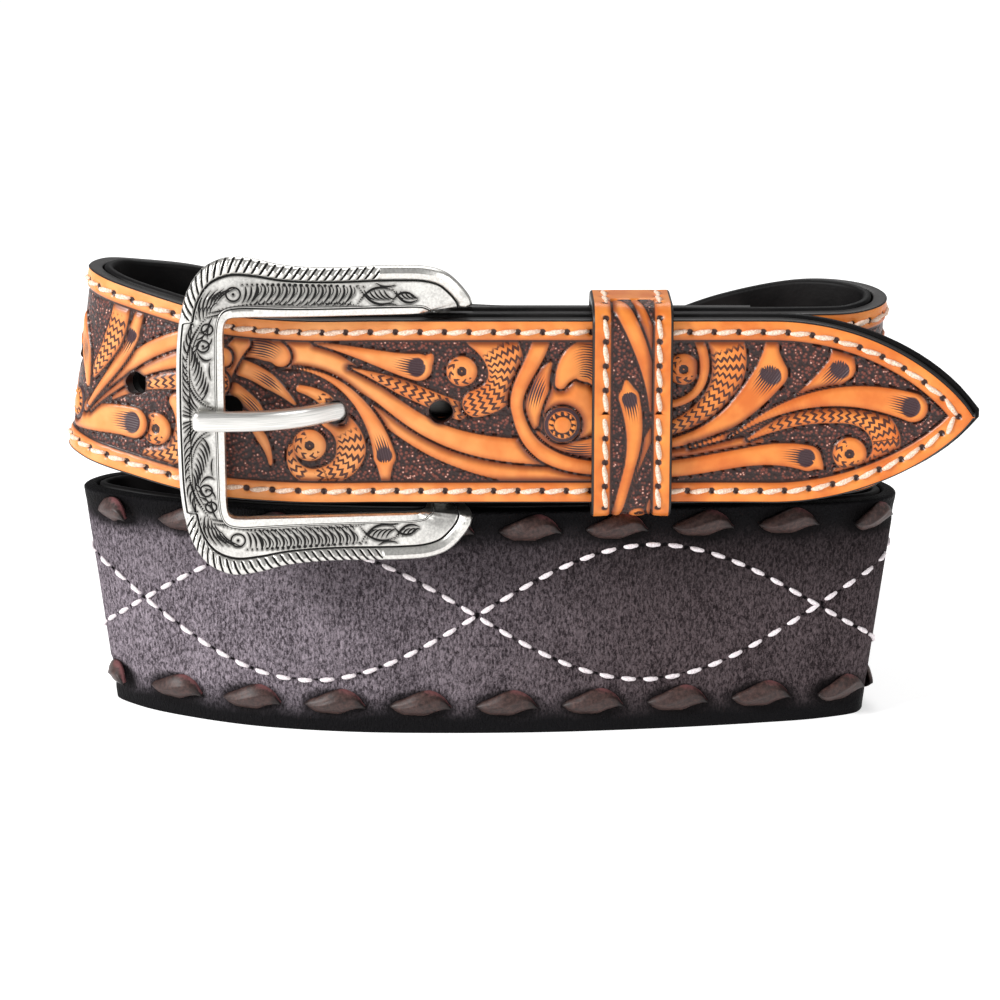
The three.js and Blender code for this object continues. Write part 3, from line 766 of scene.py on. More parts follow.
# The upper edge of the hooked half is painted pink: partly the raw edge of the lace and partly a painted
# highlight.
raw_edge_and_highlight = (wire.carried("edge") + 0.6 * (lace_grain - 0.5)).rises(0.55, 0.95) * 0.65
fuzz = wire.noise(0.3, 3)
lace_tone = (0.7 * lace_grain + 0.3 * fuzz).rises(0.3, 0.75)
lace_brown = lace_tone.mix(paint(36, 24, 23), paint(84, 60, 55))
# Both ends are painted near black: painted shade where the lace dives into its slits.
lace_brown = wire.carried("shade").mix(lace_brown, paint(22, 16, 16))
lead(
    surface,
    base_color=raw_edge_and_highlight.mix(lace_brown, paint(128, 78, 80)),
    roughness=0.36 + 0.25 * lace_grain,
    normal=(lace_grain + 0.3 * fuzz).bump(0.45, 0.15),
)
laces.data.materials.append(lace_leather)
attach(laces, "root")


# Tip billet: the tan, hand-tooled pointed end. Its flowers, leaves and scrolls are cut with a knife,
# bevelled and stamped into the damp leather, and the ground between them is matted dark. Its colour
# holds painted shade in the cuts, on the bevels, in the needle holes and between the ground's pebbles,
# and painted glints on the pebbles and bosses.
black_edge = 0.5
tip_inset = 0.7
tip_nose = 0.35
stitch_inset = 2.5
border_inset = 4.4
tan_pitch = 4.85
tan_thread_length = 4.1
tan_thread_radius = 0.5
tan_thread_rise = 0.05
tan_thread_slant = 8
needle_radius = 0.7
needle_depth = 0.7
seam_end = 1.2
tan_corner = 0.4

# Strokes of the tooling, in the order that they lie on each other. x counts from the belt's tip and
# y up from the strap's middle, in steps of about a millimetre, along a curve with four handles. The
# last three columns are half widths at its start, middle and end. A row that joins is one shape
# with the row above it.
tooling_step = (0.98, 1.035)
tooling_columns = (
    "kind", "joins", "x0", "y0", "x1", "y1", "x2", "y2", "x3", "y3", "start", "middle", "end",
)
tooling_table = (
    ("stem", 0, 66, -9.8, 58, -9.5, 52, -8, 44, -5.8, 4, 3, 1.2),
    ("scroll", 0, 53, 16, 48, 10, 49.5, 0, 64, -4.4, 4.4, 3.3, 1.8),
    ("boss", 1, 59.6, 8.4, 59.6, 8.4, 59.6, 8.4, 59.6, 8.4, 3.4, 3.4, 3.4),
    ("stem", 0, 57.5, 16, 53.5, 9, 55, 2.6, 62, 1.5, 1.3, 1.1, 1),
    ("leaf", 0, 64, -6.6, 52, -4.8, 47.5, 0, 41.8, 7.6, 1, 2.2, 3.5),
    ("stem", 1, 41.8, 7.6, 42, 10.5, 42, 12, 41.6, 16, 3.4, 1.9, 1.3),
    ("leaf", 0, 58, -7, 42, -3, 34, 2.5, 27.8, 8.8, 0.5, 1.5, 3.1),
    ("stem", 1, 27.8, 8.8, 27.5, 10.5, 27.6, 12, 27.6, 16, 3, 2.5, 2.1),
    ("scroll", 0, 46, -5.4, 36, 0.2, 21.5, 4, 18.4, -5, 0.6, 2.8, 3.1),
    ("scroll", 1, 18.4, -5, 17.4, -10, 22, -13, 28, -12, 3.1, 2.5, 1.2),
    ("boss", 1, 25.6, -8.2, 25.6, -8.2, 25.6, -8.2, 25.6, -8.2, 3.6, 3.6, 3.6),
    ("leaf", 0, 50, -5.2, 38, 3.4, 26, 5, 13.2, 1.3, 0.4, 1.9, 3.2),
    ("leaf", 0, 64, -11.6, 50, -10.4, 43, -7, 34, -9.2, 2, 2.1, 2.9),
    ("stem", 1, 34, -9.2, 32.8, -9.6, 31.8, -10.4, 31, -11.4, 2.6, 1.6, 0.4),
    ("stem", 0, 128, 4, 119, -2, 106, -13.4, 80, -13.2, 0.8, 2.2, 2.6),
    ("stem", 0, 141, 11.4, 132, 11.2, 127, 7.8, 121, 3.2, 3.4, 2.8, 1.8),
    ("stem", 1, 122, 4, 114, -1.6, 108, -8.4, 84, -8, 1.8, 2.2, 3),
    ("leaf", 0, 138.6, 8.6, 127, 8, 121.6, -2, 120.2, -9, 0.4, 1.3, 2.5),
    ("stem", 1, 120.2, -9, 120.2, -11, 120.1, -12.6, 120, -16, 2.3, 1.5, 0.8),
    ("scroll", 0, 127, 8.8, 120, 6.6, 114, 3.6, 105, 0.2, 0.3, 1.8, 2.1),
    ("leaf", 0, 134, 13.6, 125, 12.2, 119, 9.4, 113.2, 8.8, 0.5, 1.7, 3),
    ("stem", 1, 113.2, 8.8, 112, 9.4, 111, 10.2, 110.6, 11, 2.6, 1.6, 0.8),
    ("scroll", 0, 100, 16, 93.8, 11, 93.5, 3.5, 101.5, 1.6, 4.4, 3.8, 3),
    ("boss", 1, 104.4, 8, 104.4, 8, 104.4, 8, 104.4, 8, 3.3, 3.3, 3.3),
    ("stem", 0, 74, 0, 79, 0, 82, 0, 84, -1, 9, 8.6, 6.5),
    ("petal", 0, 90.5, -2, 90.4, 3, 88.4, 7, 86.4, 9.5, 2, 2.6, 0.6),
    ("petal", 0, 72, 3, 76, 12, 82, 12, 84.4, 5.6, 3.8, 4.6, 1.4),
    ("petal", 0, 72, -6.4, 80, -9.4, 86, -8.4, 89, -4.4, 3.6, 2.4, 0.8),
    ("stem", 0, 88, 16, 88.6, 9.6, 94.8, 5, 93, -0.5, 2.1, 1.7, 1.4),
    ("stem", 1, 93, -0.5, 91.4, -7, 87, -11.6, 72, -11.4, 1.4, 1.8, 1.6),
    ("ring", 0, 84, -2.6, 84, -2.6, 84, -2.6, 84, -2.6, 3.9, 3.9, 3.9),
    ("scroll", 0, 131, -1.2, 125.6, -4, 125.6, -11, 132, -12.6, 2.5, 3.2, 2.2),
    ("scroll", 1, 132, -12.6, 136, -14, 139.6, -11.5, 139, -7, 2.2, 1.7, 0.8),
    ("boss", 1, 135.4, -6.6, 135.4, -6.6, 135.4, -6.6, 135.4, -6.6, 3.5, 3.5, 3.5),
    ("scroll", 0, 137.4, 4.6, 133.6, 4, 130.4, 1.8, 129, -1.4, 1, 1.6, 1.2),
    ("petal", 0, 150, 12.2, 146, 12.6, 142.6, 12.2, 141.6, 10.8, 2.4, 2.8, 2.4),
    ("petal", 0, 150, 8, 146, 7.4, 142, 5, 138.4, 1.6, 2, 1.9, 0.6),
    ("petal", 0, 151, 3.4, 148, 2, 145.4, -0.4, 143.6, -3.4, 1.8, 1.7, 0.6),
    ("stem", 0, 149, -1, 145.6, -4, 143.4, -7, 143, -10.6, 1, 1.3, 0.6),
    ("stem", 0, 150, 13, 154, 9, 156, 2, 157, -7, 2, 2.6, 1.4),
    ("scroll", 0, 163, -1, 158, -5, 159, -12, 167, -13.4, 2, 3, 2),
    ("boss", 0, 166.6, -7.6, 166.6, -7.6, 166.6, -7.6, 166.6, -7.6, 3.5, 3.5, 3.5),
    ("scroll", 0, 178, -4.4, 172, 1, 167, 4, 155, 4.4, 0.6, 2.2, 3),
    ("leaf", 0, 190, -11.4, 183, -10, 178, -8, 172, -7.8, 2.4, 3.1, 3.4),
    ("stem", 0, 184.4, -8, 175, 1.5, 170, 7.4, 154, 9.6, 1, 1.8, 2.2),
    ("stem", 0, 186.4, -8.4, 178, 0.6, 172, 9.4, 158, 14, 1.2, 1.8, 2),
    ("leaf", 0, 185, -7.4, 179.6, 0, 177, 4, 175.8, 9.4, 0.8, 1.4, 2),
    ("stem", 1, 175.8, 9.4, 175.2, 11, 174.9, 13, 174.6, 16, 1.8, 1.4, 1.2),
    ("scroll", 0, 180, 16, 178.6, 10, 181, 4, 185, -1, 2.4, 2.6, 1.4),
    ("petal", 0, 193, 8, 190.4, 4, 187.6, 0, 186.6, -3.6, 1.6, 2.3, 1),
    ("ring", 0, 191, -8.6, 191, -8.6, 191, -8.6, 191, -8.6, 3.6, 3.6, 3.6),
)
tooling_reach = 189
tooling_repeat = 177.4


def stroke_marks(row, x, y, shift, flip):
    """How far points lie inside a stroke, where along and beside it, and the tool marks there."""
    t = np.linspace(0, 1, 48)[:, None]
    handles = [np.array([row[f"x{i}"], row[f"y{i}"]]) * tooling_step for i in range(4)]
    points = (
        handles[0] * (1 - t) ** 3
        + handles[1] * 3 * t * (1 - t) ** 2
        + handles[2] * 3 * t**2 * (1 - t)
        + handles[3] * t**3
    )
    points = points * (1, flip) + (shift, 0)
    widths = np.interp(t[:, 0], (0, 0.5, 1), (row["start"], row["middle"], row["end"]))
    steps = np.stack([x, y], 1)[:, None] - points[None]
    inside_each = widths - np.hypot(steps[..., 0], steps[..., 1])
    closest = inside_each.argmax(1)
    inside = inside_each.max(1)
    run = np.gradient(points, axis=0)
    run = run / np.maximum(np.linalg.norm(run, axis=1, keepdims=True), 1e-9)
    step = steps[np.arange(len(x)), closest]
    ahead = (step * run[closest]).sum(1)
    aside = step[:, 1] * run[closest, 0] - step[:, 0] * run[closest, 1]
    lengths = np.concatenate([[0], np.cumsum(np.linalg.norm(np.diff(points, axis=0), axis=1))])
    to_end = lengths[-1] - lengths[closest] - ahead
    half = np.maximum(widths[closest], 0.3)
    marks = {label: np.zeros(len(x)) for label in ("shade", "stamp", "bead")}
    marks["run"] = to_end
    marks["aside"] = aside
    kind = row["kind"]
    if kind == "leaf":
        across_hollow = np.clip(1.2 - (aside / (half * 0.7)) ** 2, 0, 1)
        marks["shade"] = np.exp(-((np.maximum(to_end, 0) / 4.2) ** 2)) * across_hollow
        marks["shade"] *= smooth_step(to_end + half * 0.6 - aside**2 / half * 0.75, 0, half * 0.35)
    elif kind == "petal":
        window = np.exp(-(((to_end - lengths[-1] * 0.5) / 3.4) ** 2))
        marks["shade"] = 0.75 * window * smooth_step(inside, 0.4, 1.4)
    elif kind == "scroll":
        marks["stamp"] = smooth_step(lengths[-1] - to_end, 2, 7)
    elif kind == "boss":
        middle = half - inside
        turn = np.arctan2(step[:, 1], step[:, 0])
        # A dark seed bead whose middle is left light as a painted glint.
        marks["bead"] = 1 - smooth_step(middle, 0.8, 1.15) - 0.8 * np.exp(-((middle / 0.28) ** 2))
        marks["stamp"] = smooth_step(middle, 1.5, 1.9) * smooth_step(np.sin(turn + 2.2), -0.6, 0)
        marks["run"] = turn * 2.2
        marks["aside"] = middle
    elif kind == "ring":
        middle = half - inside
        turn = np.arctan2(step[:, 1], step[:, 0])
        dots = np.hypot(middle - 2.3, (np.mod(turn * 6 / math.pi, 1) - 0.5) * 1.25)
        marks["bead"] = np.exp(-(((middle - 2.2) / 0.62) ** 2)) * smooth_step(dots, 0.28, 0.42)
        marks["shade"] = 0.8 * smooth_step(middle, 2.6, 3.2) * (1 - smooth_step(middle, 3.2, 3.9))
        marks["run"] = np.zeros(len(x))
    return inside, marks


def tool(table, x, y, shift=0.0, flip=1):
    """The tooling at points x, y: distances to the nearest cut and what each tool left there."""
    marks = {label: np.zeros(x.shape) for label in ("shade", "stamp", "bead", "run", "aside")}
    marks["cut"] = np.full(x.shape, 9.0)
    marks["below"] = np.full(x.shape, 9.0)
    marks["ground"] = np.ones(x.shape)
    shapes = []
    for values in table:
        row = dict(zip(tooling_columns, values))
        if row["joins"]:
            shapes[-1].append(row)
        else:
            shapes.append([row])
    for shape in shapes:
        reach = 7
        xs = [row[f"x{i}"] * tooling_step[0] + shift for row in shape for i in range(4)]
        ys = [row[f"y{i}"] * tooling_step[1] * flip for row in shape for i in range(4)]
        near = (x > min(xs) - reach) & (x < max(xs) + reach)
        near = np.nonzero(near & (y > min(ys) - reach) & (y < max(ys) + reach))[0]
        if not len(near):
            continue
        inside = np.full(len(near), -99.0)
        here = {}
        for row in shape:
            stroke_inside, stroke = stroke_marks(row, x[near], y[near], shift, flip)
            deeper = stroke_inside > inside
            for label, values in stroke.items():
                before = here.get(label, values)
                if label in ("shade", "stamp", "bead"):
                    on_stroke = np.where(stroke_inside > 0, values, 0)
                    here[label] = np.maximum(before, on_stroke) if label in here else on_stroke
                else:
                    here[label] = np.where(deeper, values, before)
            inside = np.maximum(inside, stroke_inside)
        on = inside > 0
        away = np.maximum(-inside, 0)
        here["cut"] = inside
        here["below"] = np.full(len(near), 9.0)
        here["ground"] = np.zeros(len(near))
        here["stamp"] = here["stamp"] * smooth_step(inside, 0.25, 0.7)
        for label in ("cut", "below"):
            marks[label][near] = np.minimum(marks[label][near], away)
        for label, values in here.items():
            marks[label][near] = np.where(on, values, marks[label][near])
    return marks


def billet_half_width(distance):
    return np.maximum(lining_half_width(distance, tip_inset) - black_edge, tip_nose)


tip_walk = np.linspace(tip_inset, 60, 240)
tip_outline = np.stack([tip_walk, billet_half_width(tip_walk)], 1)


def from_edge(distance, across):
    """How far points lie from the billet's edge, measured square to it."""
    side_gap = billet_half_width(distance) - np.abs(across)
    at_point = np.nonzero(distance < 55)[0]
    place = np.stack([distance[at_point], np.abs(across[at_point])], 1)
    nearest = np.full(len(at_point), 99.0)
    for corner in tip_outline:
        nearest = np.minimum(nearest, np.hypot(*(place - corner).T))
    gap = side_gap.copy()
    gap[at_point] = np.minimum(nearest, np.maximum(side_gap[at_point], 0))
    return gap


def seam_line(end):
    """The stitched seam inside the billet's edge, from one end round the point to the other."""
    near_tip = np.linspace(tip_inset, 58, 300)
    half = billet_half_width(near_tip)
    slope = np.gradient(half, near_tip)
    inward = unit(np.stack([slope, -np.ones(len(slope))], 1))
    side = np.stack([near_tip, half], 1) + inward * stitch_inset
    side = side[side[:, 1] > 0.05]
    side = side[np.concatenate([[True], np.diff(side[:, 0]) > 0])]
    straight = np.array([[end, billet_half_width(np.array([end]))[0] - stitch_inset]])
    upper = np.concatenate([side, straight])
    return np.concatenate([upper[::-1], upper * (1, -1)])


def stitch_stops(line, pitch):
    """Needle holes and stitch middles along a line, a whole number of stitches apart."""
    reach = np.concatenate([[0], np.cumsum(np.linalg.norm(np.diff(line, axis=0), axis=1))])
    count = round(reach[-1] / pitch)
    spots = []
    for offset in (0.0, 0.5):
        stops = (np.arange(count) + offset) * reach[-1] / count
        spots.append(np.stack([np.interp(stops, reach, column) for column in line.T], 1))
    return spots


tip_seam = seam_line(tip_billet_length - seam_end)
tip_needles, tip_stitches = stitch_stops(tip_seam, tan_pitch)


def needle_pits(x, y, needles):
    """1 at the middle of each needle hole, fading to 0 at its edge."""
    pits = np.zeros(x.shape)
    for place in needles:
        near = np.nonzero((np.abs(x - place[0]) < 2) & (np.abs(y - place[1]) < 2))[0]
        depth = np.exp(-((x[near] - place[0]) ** 2 + (y[near] - place[1]) ** 2) / needle_radius**2)
        pits[near] = np.maximum(pits[near], depth)
    return pits


def lay_marks(marks, gap, border_inset):
    """Keeps the tooling inside the border line, and adds that line to the cuts."""
    field = gap > border_inset
    border = np.abs(gap - border_inset)
    marks["cut"] = np.where(field, np.minimum(marks["cut"], border), border)
    marks["below"] = np.where(field, np.minimum(marks["below"], border), 9)
    for label in ("ground", "shade", "stamp", "bead"):
        marks[label] = np.where(field, marks[label], 0)
    marks["ground"] = marks["ground"] * smooth_step(marks["below"], 0, 0.22)
    return marks


def worked_depth(marks):
    """How far the tools have pressed the face down."""
    body = marks["ground"] < 0.5
    return (
        0.6 * marks["ground"]
        + 0.32 * body * np.exp(-marks["cut"] / 0.9) * (marks["cut"] < 8)
        + 0.28 * np.exp(-((marks["cut"] / 0.32) ** 2))
        + 0.3 * body * np.exp(-marks["below"] / 0.9)
        + 0.42 * marks["shade"]
        + 0.12 * marks["stamp"]
        + 0.4 * marks["bead"]
    )


def tooled_face(x, y, gap, side, needles, stretches, holes=()):
    """The depth of the tooled face below the plain leather, and the marks for its material.

    Each stretch has where it starts, how far its pattern is moved and 1 or -1 to turn it over.
    """
    top = np.nonzero(side == 0)[0]
    marks = {}
    for start, shift, flip in stretches:
        made = tool(tooling_table, x[top], y[top], shift, flip)
        for label, values in made.items():
            marks[label] = np.where(x[top] >= start, values, marks.get(label, values))
    marks = lay_marks(marks, gap[top], border_inset)
    marks["pit"] = needle_pits(x[top], y[top], needles)
    marks["hole"] = np.full(len(top), 9.0)
    for stop in holes:
        hole_gap = np.hypot(x[top] - stop, y[top]) - hole_diameter / 2
        marks["hole"] = np.minimum(marks["hole"], hole_gap)
    depth = np.zeros(x.shape)
    depth[top] = (
        0.05 + worked_depth(marks) + needle_depth * marks["pit"] + 0.25 * np.exp(-gap[top] / 0.6)
    )
    carried = {}
    for label, values in marks.items():
        layer = np.full(x.shape, 9.0 if label in ("cut", "below", "hole") else 0.0)
        layer[top] = values
        carried[label] = layer
    return depth, carried


hole_count = 5
hole_diameter = 4.8
hole_spacing = 21
hole_in_use = 1
window_length = 42.2
prong_reach = 6.4
prong_length = window_length + prong_reach
prong_crossing = 0.43
bar_place = on_strap(np.array([strap_length]), 0, 0)[0]
bar_ahead = along_strap(strap_along, np.array([strap_length]))[0]
hole_walk = np.arange(0, tip_billet_length, 0.5)
crossing = bar_place + bar_ahead * prong_length * prong_crossing
hole_first = hole_walk[np.linalg.norm(on_strap(hole_walk, 0, 0) - crossing, axis=1).argmin()]
hole_stops = hole_first + (np.arange(hole_count) - hole_in_use) * hole_spacing


def tip_relief(distance, across, side):
    gap = from_edge(distance, across)
    stretches = ((0, 0, 1), (tooling_reach, tooling_repeat, 1))
    return tooled_face(distance, across, gap, side, tip_needles, stretches, hole_stops)


tan_section = strap_section(104, 3, 0, tooling_thickness, tan_corner)
tip_billet = strap_strip(
    "tooled_tip", tip_inset, tip_billet_length, 0.36, tan_section, billet_half_width, tip_relief
)


def cut_away(piece, cutter):
    """Cuts a slot or holes with another solid."""
    bpy.ops.object.select_all(action="DESELECT")
    bpy.context.view_layer.objects.active = piece
    piece.select_set(True)
    cut_step = piece.modifiers.new("cut", "BOOLEAN")
    cut_step.operation = "DIFFERENCE"
    cut_step.object = cutter
    bpy.ops.object.modifier_apply(modifier="cut")
    bpy.ops.object.shade_smooth_by_angle(angle=math.radians(50))
    bpy.data.objects.remove(cutter)


def punch(distance):
    """A round punch that stands square on the strap."""
    bpy.ops.object.select_all(action="DESELECT")
    bpy.ops.mesh.primitive_cylinder_add(vertices=32, radius=hole_diameter / 2, depth=strap_thickness + 3)
    tool_end = bpy.context.object
    spots = np.array([corner.co for corner in tool_end.data.vertices])
    middle = on_strap(np.array([distance]), 0, strap_thickness / 2)[0]
    tables = (strap_along, strap_across, strap_out)
    ways = [along_strap(table, np.array([distance]))[0] for table in tables]
    spots = middle + sum(spots[:, k : k + 1] * way for k, way in enumerate(ways))
    tool_end.data.vertices.foreach_set("co", (spots * 0.001).astype(np.float32).ravel())
    bpy.ops.object.mode_set(mode="EDIT")
    bpy.ops.mesh.select_all(action="SELECT")
    bpy.ops.mesh.normals_make_consistent(inside=False)
    bpy.ops.object.mode_set(mode="OBJECT")
    return tool_end


for stop in hole_stops:
    cut_away(lining, punch(stop))
    cut_away(tip_billet, punch(stop))

tooled, surface, wire = finish_named("tooled_leather", roughness=0.4, coat=0.22, shine=0.35)
cut = wire.carried("cut")
below = wire.carried("below")
ground = wire.carried("ground")
run = wire.carried("run")
aside = wire.carried("aside")
grain = wire.noise(0.8, 4, 0.6)
mottle = wire.noise(7, 3)
pale = wire.carried("along").rises(60, 150)
warm_tan = mottle.rises(0.3, 0.7).mix(paint(208, 106, 34), paint(232, 140, 60))
light_tan = mottle.rises(0.3, 0.7).mix(paint(222, 134, 66), paint(236, 160, 94))
tan = pale.mix(warm_tan, light_tan)
# Darker near every cut, and darker still on the bevelled side below a cut: partly antique stain and partly
# painted shade.
tan = ((1 - cut.rises(0, 1.5)) * 0.7).mix(tan, paint(164, 72, 24))
tan = ((1 - below.rises(-0.2, 1.9)) * 0.95).mix(tan, paint(92, 34, 13))
# The matted ground: lighter pebble tops over dark hollows, partly painted shade, with painted pink glints
# on some tops.
pebble = wire.cells(0.72)
patch = wire.noise(1.3, 2)
matted = pebble.rises(0.15, 0.62).mix(paint(116, 56, 42), paint(34, 12, 9))
painted_glints = (1 - pebble.rises(0.12, 0.3)) * patch.rises(0.5, 0.6)
matted = painted_glints.mix(matted, paint(226, 178, 160))
tooled_colour = ground.rises(0.4, 0.6).mix(tan, matted)
streaks = wire.maths("COSINE", aside * (2 * math.pi / 0.5)) * 0.5 + 0.5
hollow = (wire.carried("shade") - streaks * 0.6 * run.rises(0.4, 2.6)).rises(0.1, 0.5)
tooled_colour = hollow.mix(tooled_colour, paint(56, 32, 38))
zigzag = wire.maths("PINGPONG", aside + 30 + 0.5 * patch, 0.6)
rows = wire.maths("COSINE", (run / 1.75 + zigzag * 0.8 + 0.25 * patch) * (2 * math.pi))
stamps = (rows * wire.carried("stamp") + 1.6 * (patch - 0.5)).rises(0.1, 0.4)
stamps = stamps * wire.carried("stamp").rises(0.2, 0.6)
tooled_colour = stamps.mix(tooled_colour, paint(74, 34, 20))
# The bosses' dark beads, with a painted glint left light in each middle.
tooled_colour = wire.carried("bead").rises(0.3, 0.65).mix(tooled_colour, paint(50, 22, 16))
# The cut lines are painted near black: partly antique stain and partly painted shade in the cuts.
tooled_colour = (1 - cut.rises(0.14, 0.4)).mix(tooled_colour, paint(44, 18, 10))
# The needle holes are painted dark: painted shade in the holes.
tooled_colour = wire.carried("pit").rises(0.25, 0.55).mix(tooled_colour, paint(50, 20, 12))
worn = 1 - wire.carried("hole").rises(-0.1, 1.1)
tooled_colour = (0.85 * worn).mix(tooled_colour, paint(58, 30, 24))
edge_dye = wire.carried("side").rises(0.2, 0.6)
tooled_colour = edge_dye.mix(tooled_colour, paint(26, 22, 21))
lead(
    surface,
    base_color=tooled_colour,
    roughness=0.36 + 0.16 * grain,
    normal=(
        0.22 * grain
        + 1.6 * ground * (1 - pebble)
        + 0.5 * hollow * streaks
        - 0.9 * stamps
    ).bump(0.8, 0.2),
)
tip_billet.data.materials.append(tooled)
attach(tip_billet, "root")
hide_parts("tip_billet")
tip_threads = many(
    "tip_stitching",
    thread_pattern(tan_thread_length, tan_thread_radius, tan_thread_slant),
    *stitch_row(tip_stitches[:, 0], tip_stitches[:, 1], tan_thread_rise),
)
cream_thread, surface, wire = finish_named("cream_thread", roughness=0.7)
fibre = wire.noise(0.35, 3)
lead(
    surface,
    base_color=fibre.rises(0.3, 0.75).mix(paint(214, 176, 150), paint(252, 232, 214)),
    normal=fibre.bump(0.5, 0.08),
)
tip_threads.data.materials.append(cream_thread)
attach(tip_threads, "root")


# Buckle billet: the other tan, tooled end. It runs to the buckle, folds round the bar and comes back
# behind the lining, where two screws hold it. A slot in the fold lets the prong through.
bar_radius = 2
bar_gap = 0.3
turnback_length = 62
settle_length = 14
prong_width = 4
prong_thickness = 2.4
prong_gap = 0.35
bar_depth = tooling_thickness + bar_gap + bar_radius
fold_length = math.pi * bar_depth
billet_start = strap_length - buckle_billet_length
billet_run = buckle_billet_length + fold_length + turnback_length
bar_ends = [along_strap(table, np.array([strap_length]))[0] for table in (strap_line, strap_along)]
bar_point, bar_along = bar_ends
bar_across = along_strap(strap_across, np.array([strap_length]))[0]
bar_out = along_strap(strap_out, np.array([strap_length]))[0]
hook_radius = bar_radius + prong_gap + prong_thickness / 2


def by_bar(reach, lift, rise):
    """Points past the bar, above the strap's face and above its middle."""
    steps = zip((reach, lift, rise), (bar_along, bar_out, bar_across))
    return bar_point + sum(np.asarray(size)[..., None] * way for size, way in steps)


def on_billet(distance, across, depth):
    """Points on the billet: along the strap, round the bar and back."""
    flat = on_strap(np.minimum(distance, strap_length), across, depth)
    turn = np.clip((distance - strap_length) / bar_depth, 0, math.pi)
    fold = by_bar(
        (bar_depth - depth) * np.sin(turn), (bar_depth - depth) * np.cos(turn) - bar_depth, across
    )
    back = np.maximum(distance - strap_length - fold_length, 0)
    rest_face = strap_thickness + layer_gap + tooling_thickness
    settled = smooth_step(back, 0, settle_length)
    face = 2 * bar_depth + (rest_face - 2 * bar_depth) * settled
    inside = on_strap(strap_length - back, across, face - depth)
    folded = np.where((distance > strap_length)[:, None], fold, flat)
    return np.where((back > 0)[:, None], inside, folded)


billet_half = lining_width / 2 - black_edge
billet_seam_height = billet_half - stitch_inset
billet_seam = np.array(
    [[seam_end, billet_seam_height], [billet_run - seam_end, billet_seam_height]]
)
billet_seam = np.concatenate([billet_seam, billet_seam[::-1] * (1, -1)])
billet_needles, billet_stitches = stitch_stops(billet_seam, tan_pitch)
billet_tooling_start = 56
billet_repeat = 92
billet_stretches = 3
billet_section = strap_section(84, 3, 0, tooling_thickness, tan_corner)


def billet_surface(along, around):
    shares, offsets, depths, sides = billet_section
    run = billet_run * along
    distance = billet_start + run
    across = shares[around] * (billet_half - tan_corner) + offsets[around]
    side = sides[around]
    gap = billet_half - np.abs(across)
    stretches = []
    for k in range(billet_stretches):
        start = k * billet_repeat
        stretches.append((start, start - billet_tooling_start, 1 - 2 * (k % 2)))
    sunk, carried = tooled_face(run, across, gap, side, billet_needles, stretches)
    carried["along"] = run * 0.4
    carried["side"] = side
    return on_billet(distance, across, depths[around] + sunk * (side == 0)), carried


buckle_billet = strip(
    "tooled_buckle_end", int(billet_run / 0.45), len(billet_section[0]) - 1, billet_surface
)


def block(reach, lift, rise):
    """A box by the bar, from and to sizes along, out and up."""
    bpy.ops.object.select_all(action="DESELECT")
    bpy.ops.mesh.primitive_cube_add(size=1)
    box = bpy.context.object
    corners = np.array([corner.co for corner in box.data.vertices]) + 0.5
    spans = [np.array(span) for span in (reach, lift, rise)]
    sizes = [span[0] + (span[1] - span[0]) * corners[:, k] for k, span in enumerate(spans)]
    box.data.vertices.foreach_set("co", (by_bar(*sizes) * 0.001).astype(np.float32).ravel())
    bpy.ops.object.mode_set(mode="EDIT")
    bpy.ops.mesh.select_all(action="SELECT")
    bpy.ops.mesh.normals_make_consistent(inside=False)
    bpy.ops.object.mode_set(mode="OBJECT")
    return box


slot_reach = hook_radius + prong_thickness / 2 + prong_gap
slot_half = prong_width / 2 + prong_gap
slot_margin = 2
cut_away(
    buckle_billet,
    block(
        (-slot_reach, bar_depth + slot_margin),
        (-2 * bar_depth - slot_margin, slot_margin),
        (-slot_half, slot_half),
    ),
)
buckle_billet.data.materials.append(tooled)
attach(buckle_billet, "root")
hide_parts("buckle_billet")


def stitches_on(face, reach, across, rise):
    """Where stitches lie on a bent face, and their directions."""
    depth = np.full(len(reach), -rise)
    points = face(reach, across, depth)
    run = unit(face(reach + 0.2, across, depth) - points)
    out = unit(face(reach, across, depth - 1) - points)
    return points, run, unit(np.cross(out, run)), out


billet_threads = many(
    "buckle_end_stitching",
    thread_pattern(tan_thread_length, tan_thread_radius, tan_thread_slant),
    *stitches_on(
        on_billet, billet_start + billet_stitches[:, 0], billet_stitches[:, 1], tan_thread_rise
    ),
)
billet_threads.data.materials.append(cream_thread)
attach(billet_threads, "root")


# Keeper: a loop of tooled tan leather round both ends. It is stitched down both edges, dyed black
# along them and butted together behind.
keeper_width = 16
keeper_clearance = 0.6
keeper_turn = 1
keeper_inner_radius = 2.5
keeper_corner = 0.6
keeper_stitch_inset = 2.7
keeper_border_inset = 3.9
keeper_field = 27
keeper_tan = 40
keeper_table = (
    ("stem", 0, 0.6, 25, 1.4, 21, 3, 17, 4.6, 13, 1, 1.2, 1.5),
    ("stem", 0, -3.6, 24, -0.6, 18, 3.8, 10, 4.4, 1, 2, 1.7, 1.2),
    ("stem", 0, 4.8, -2, 2.8, -6, -0.8, -12, -2.4, -21, 0.9, 1.2, 0.9),
    ("leaf", 0, -3.8, -25, -2, -12, 2.6, -8, -0.7, 3.4, 1.2, 1.3, 2.3),
    ("stem", 1, -0.7, 3.4, -0.8, 4.6, -1, 5.4, -1.2, 6.4, 2, 1.4, 0.7),
    ("boss", 0, 1.6, -21, 1.6, -21, 1.6, -21, 1.6, -21, 2.2, 2.2, 2.2),
    ("scroll", 0, 4.6, -16, 3.4, -18, 3.6, -20, 4.6, -24, 0.6, 0.9, 0.8),
)
half_depth = keeper_depth / 2 + keeper_clearance
half_height = (lining_width + keeper_slack) / 2
straight_depth = 2 * (half_depth - keeper_inner_radius)
straight_height = 2 * (half_height - keeper_inner_radius)
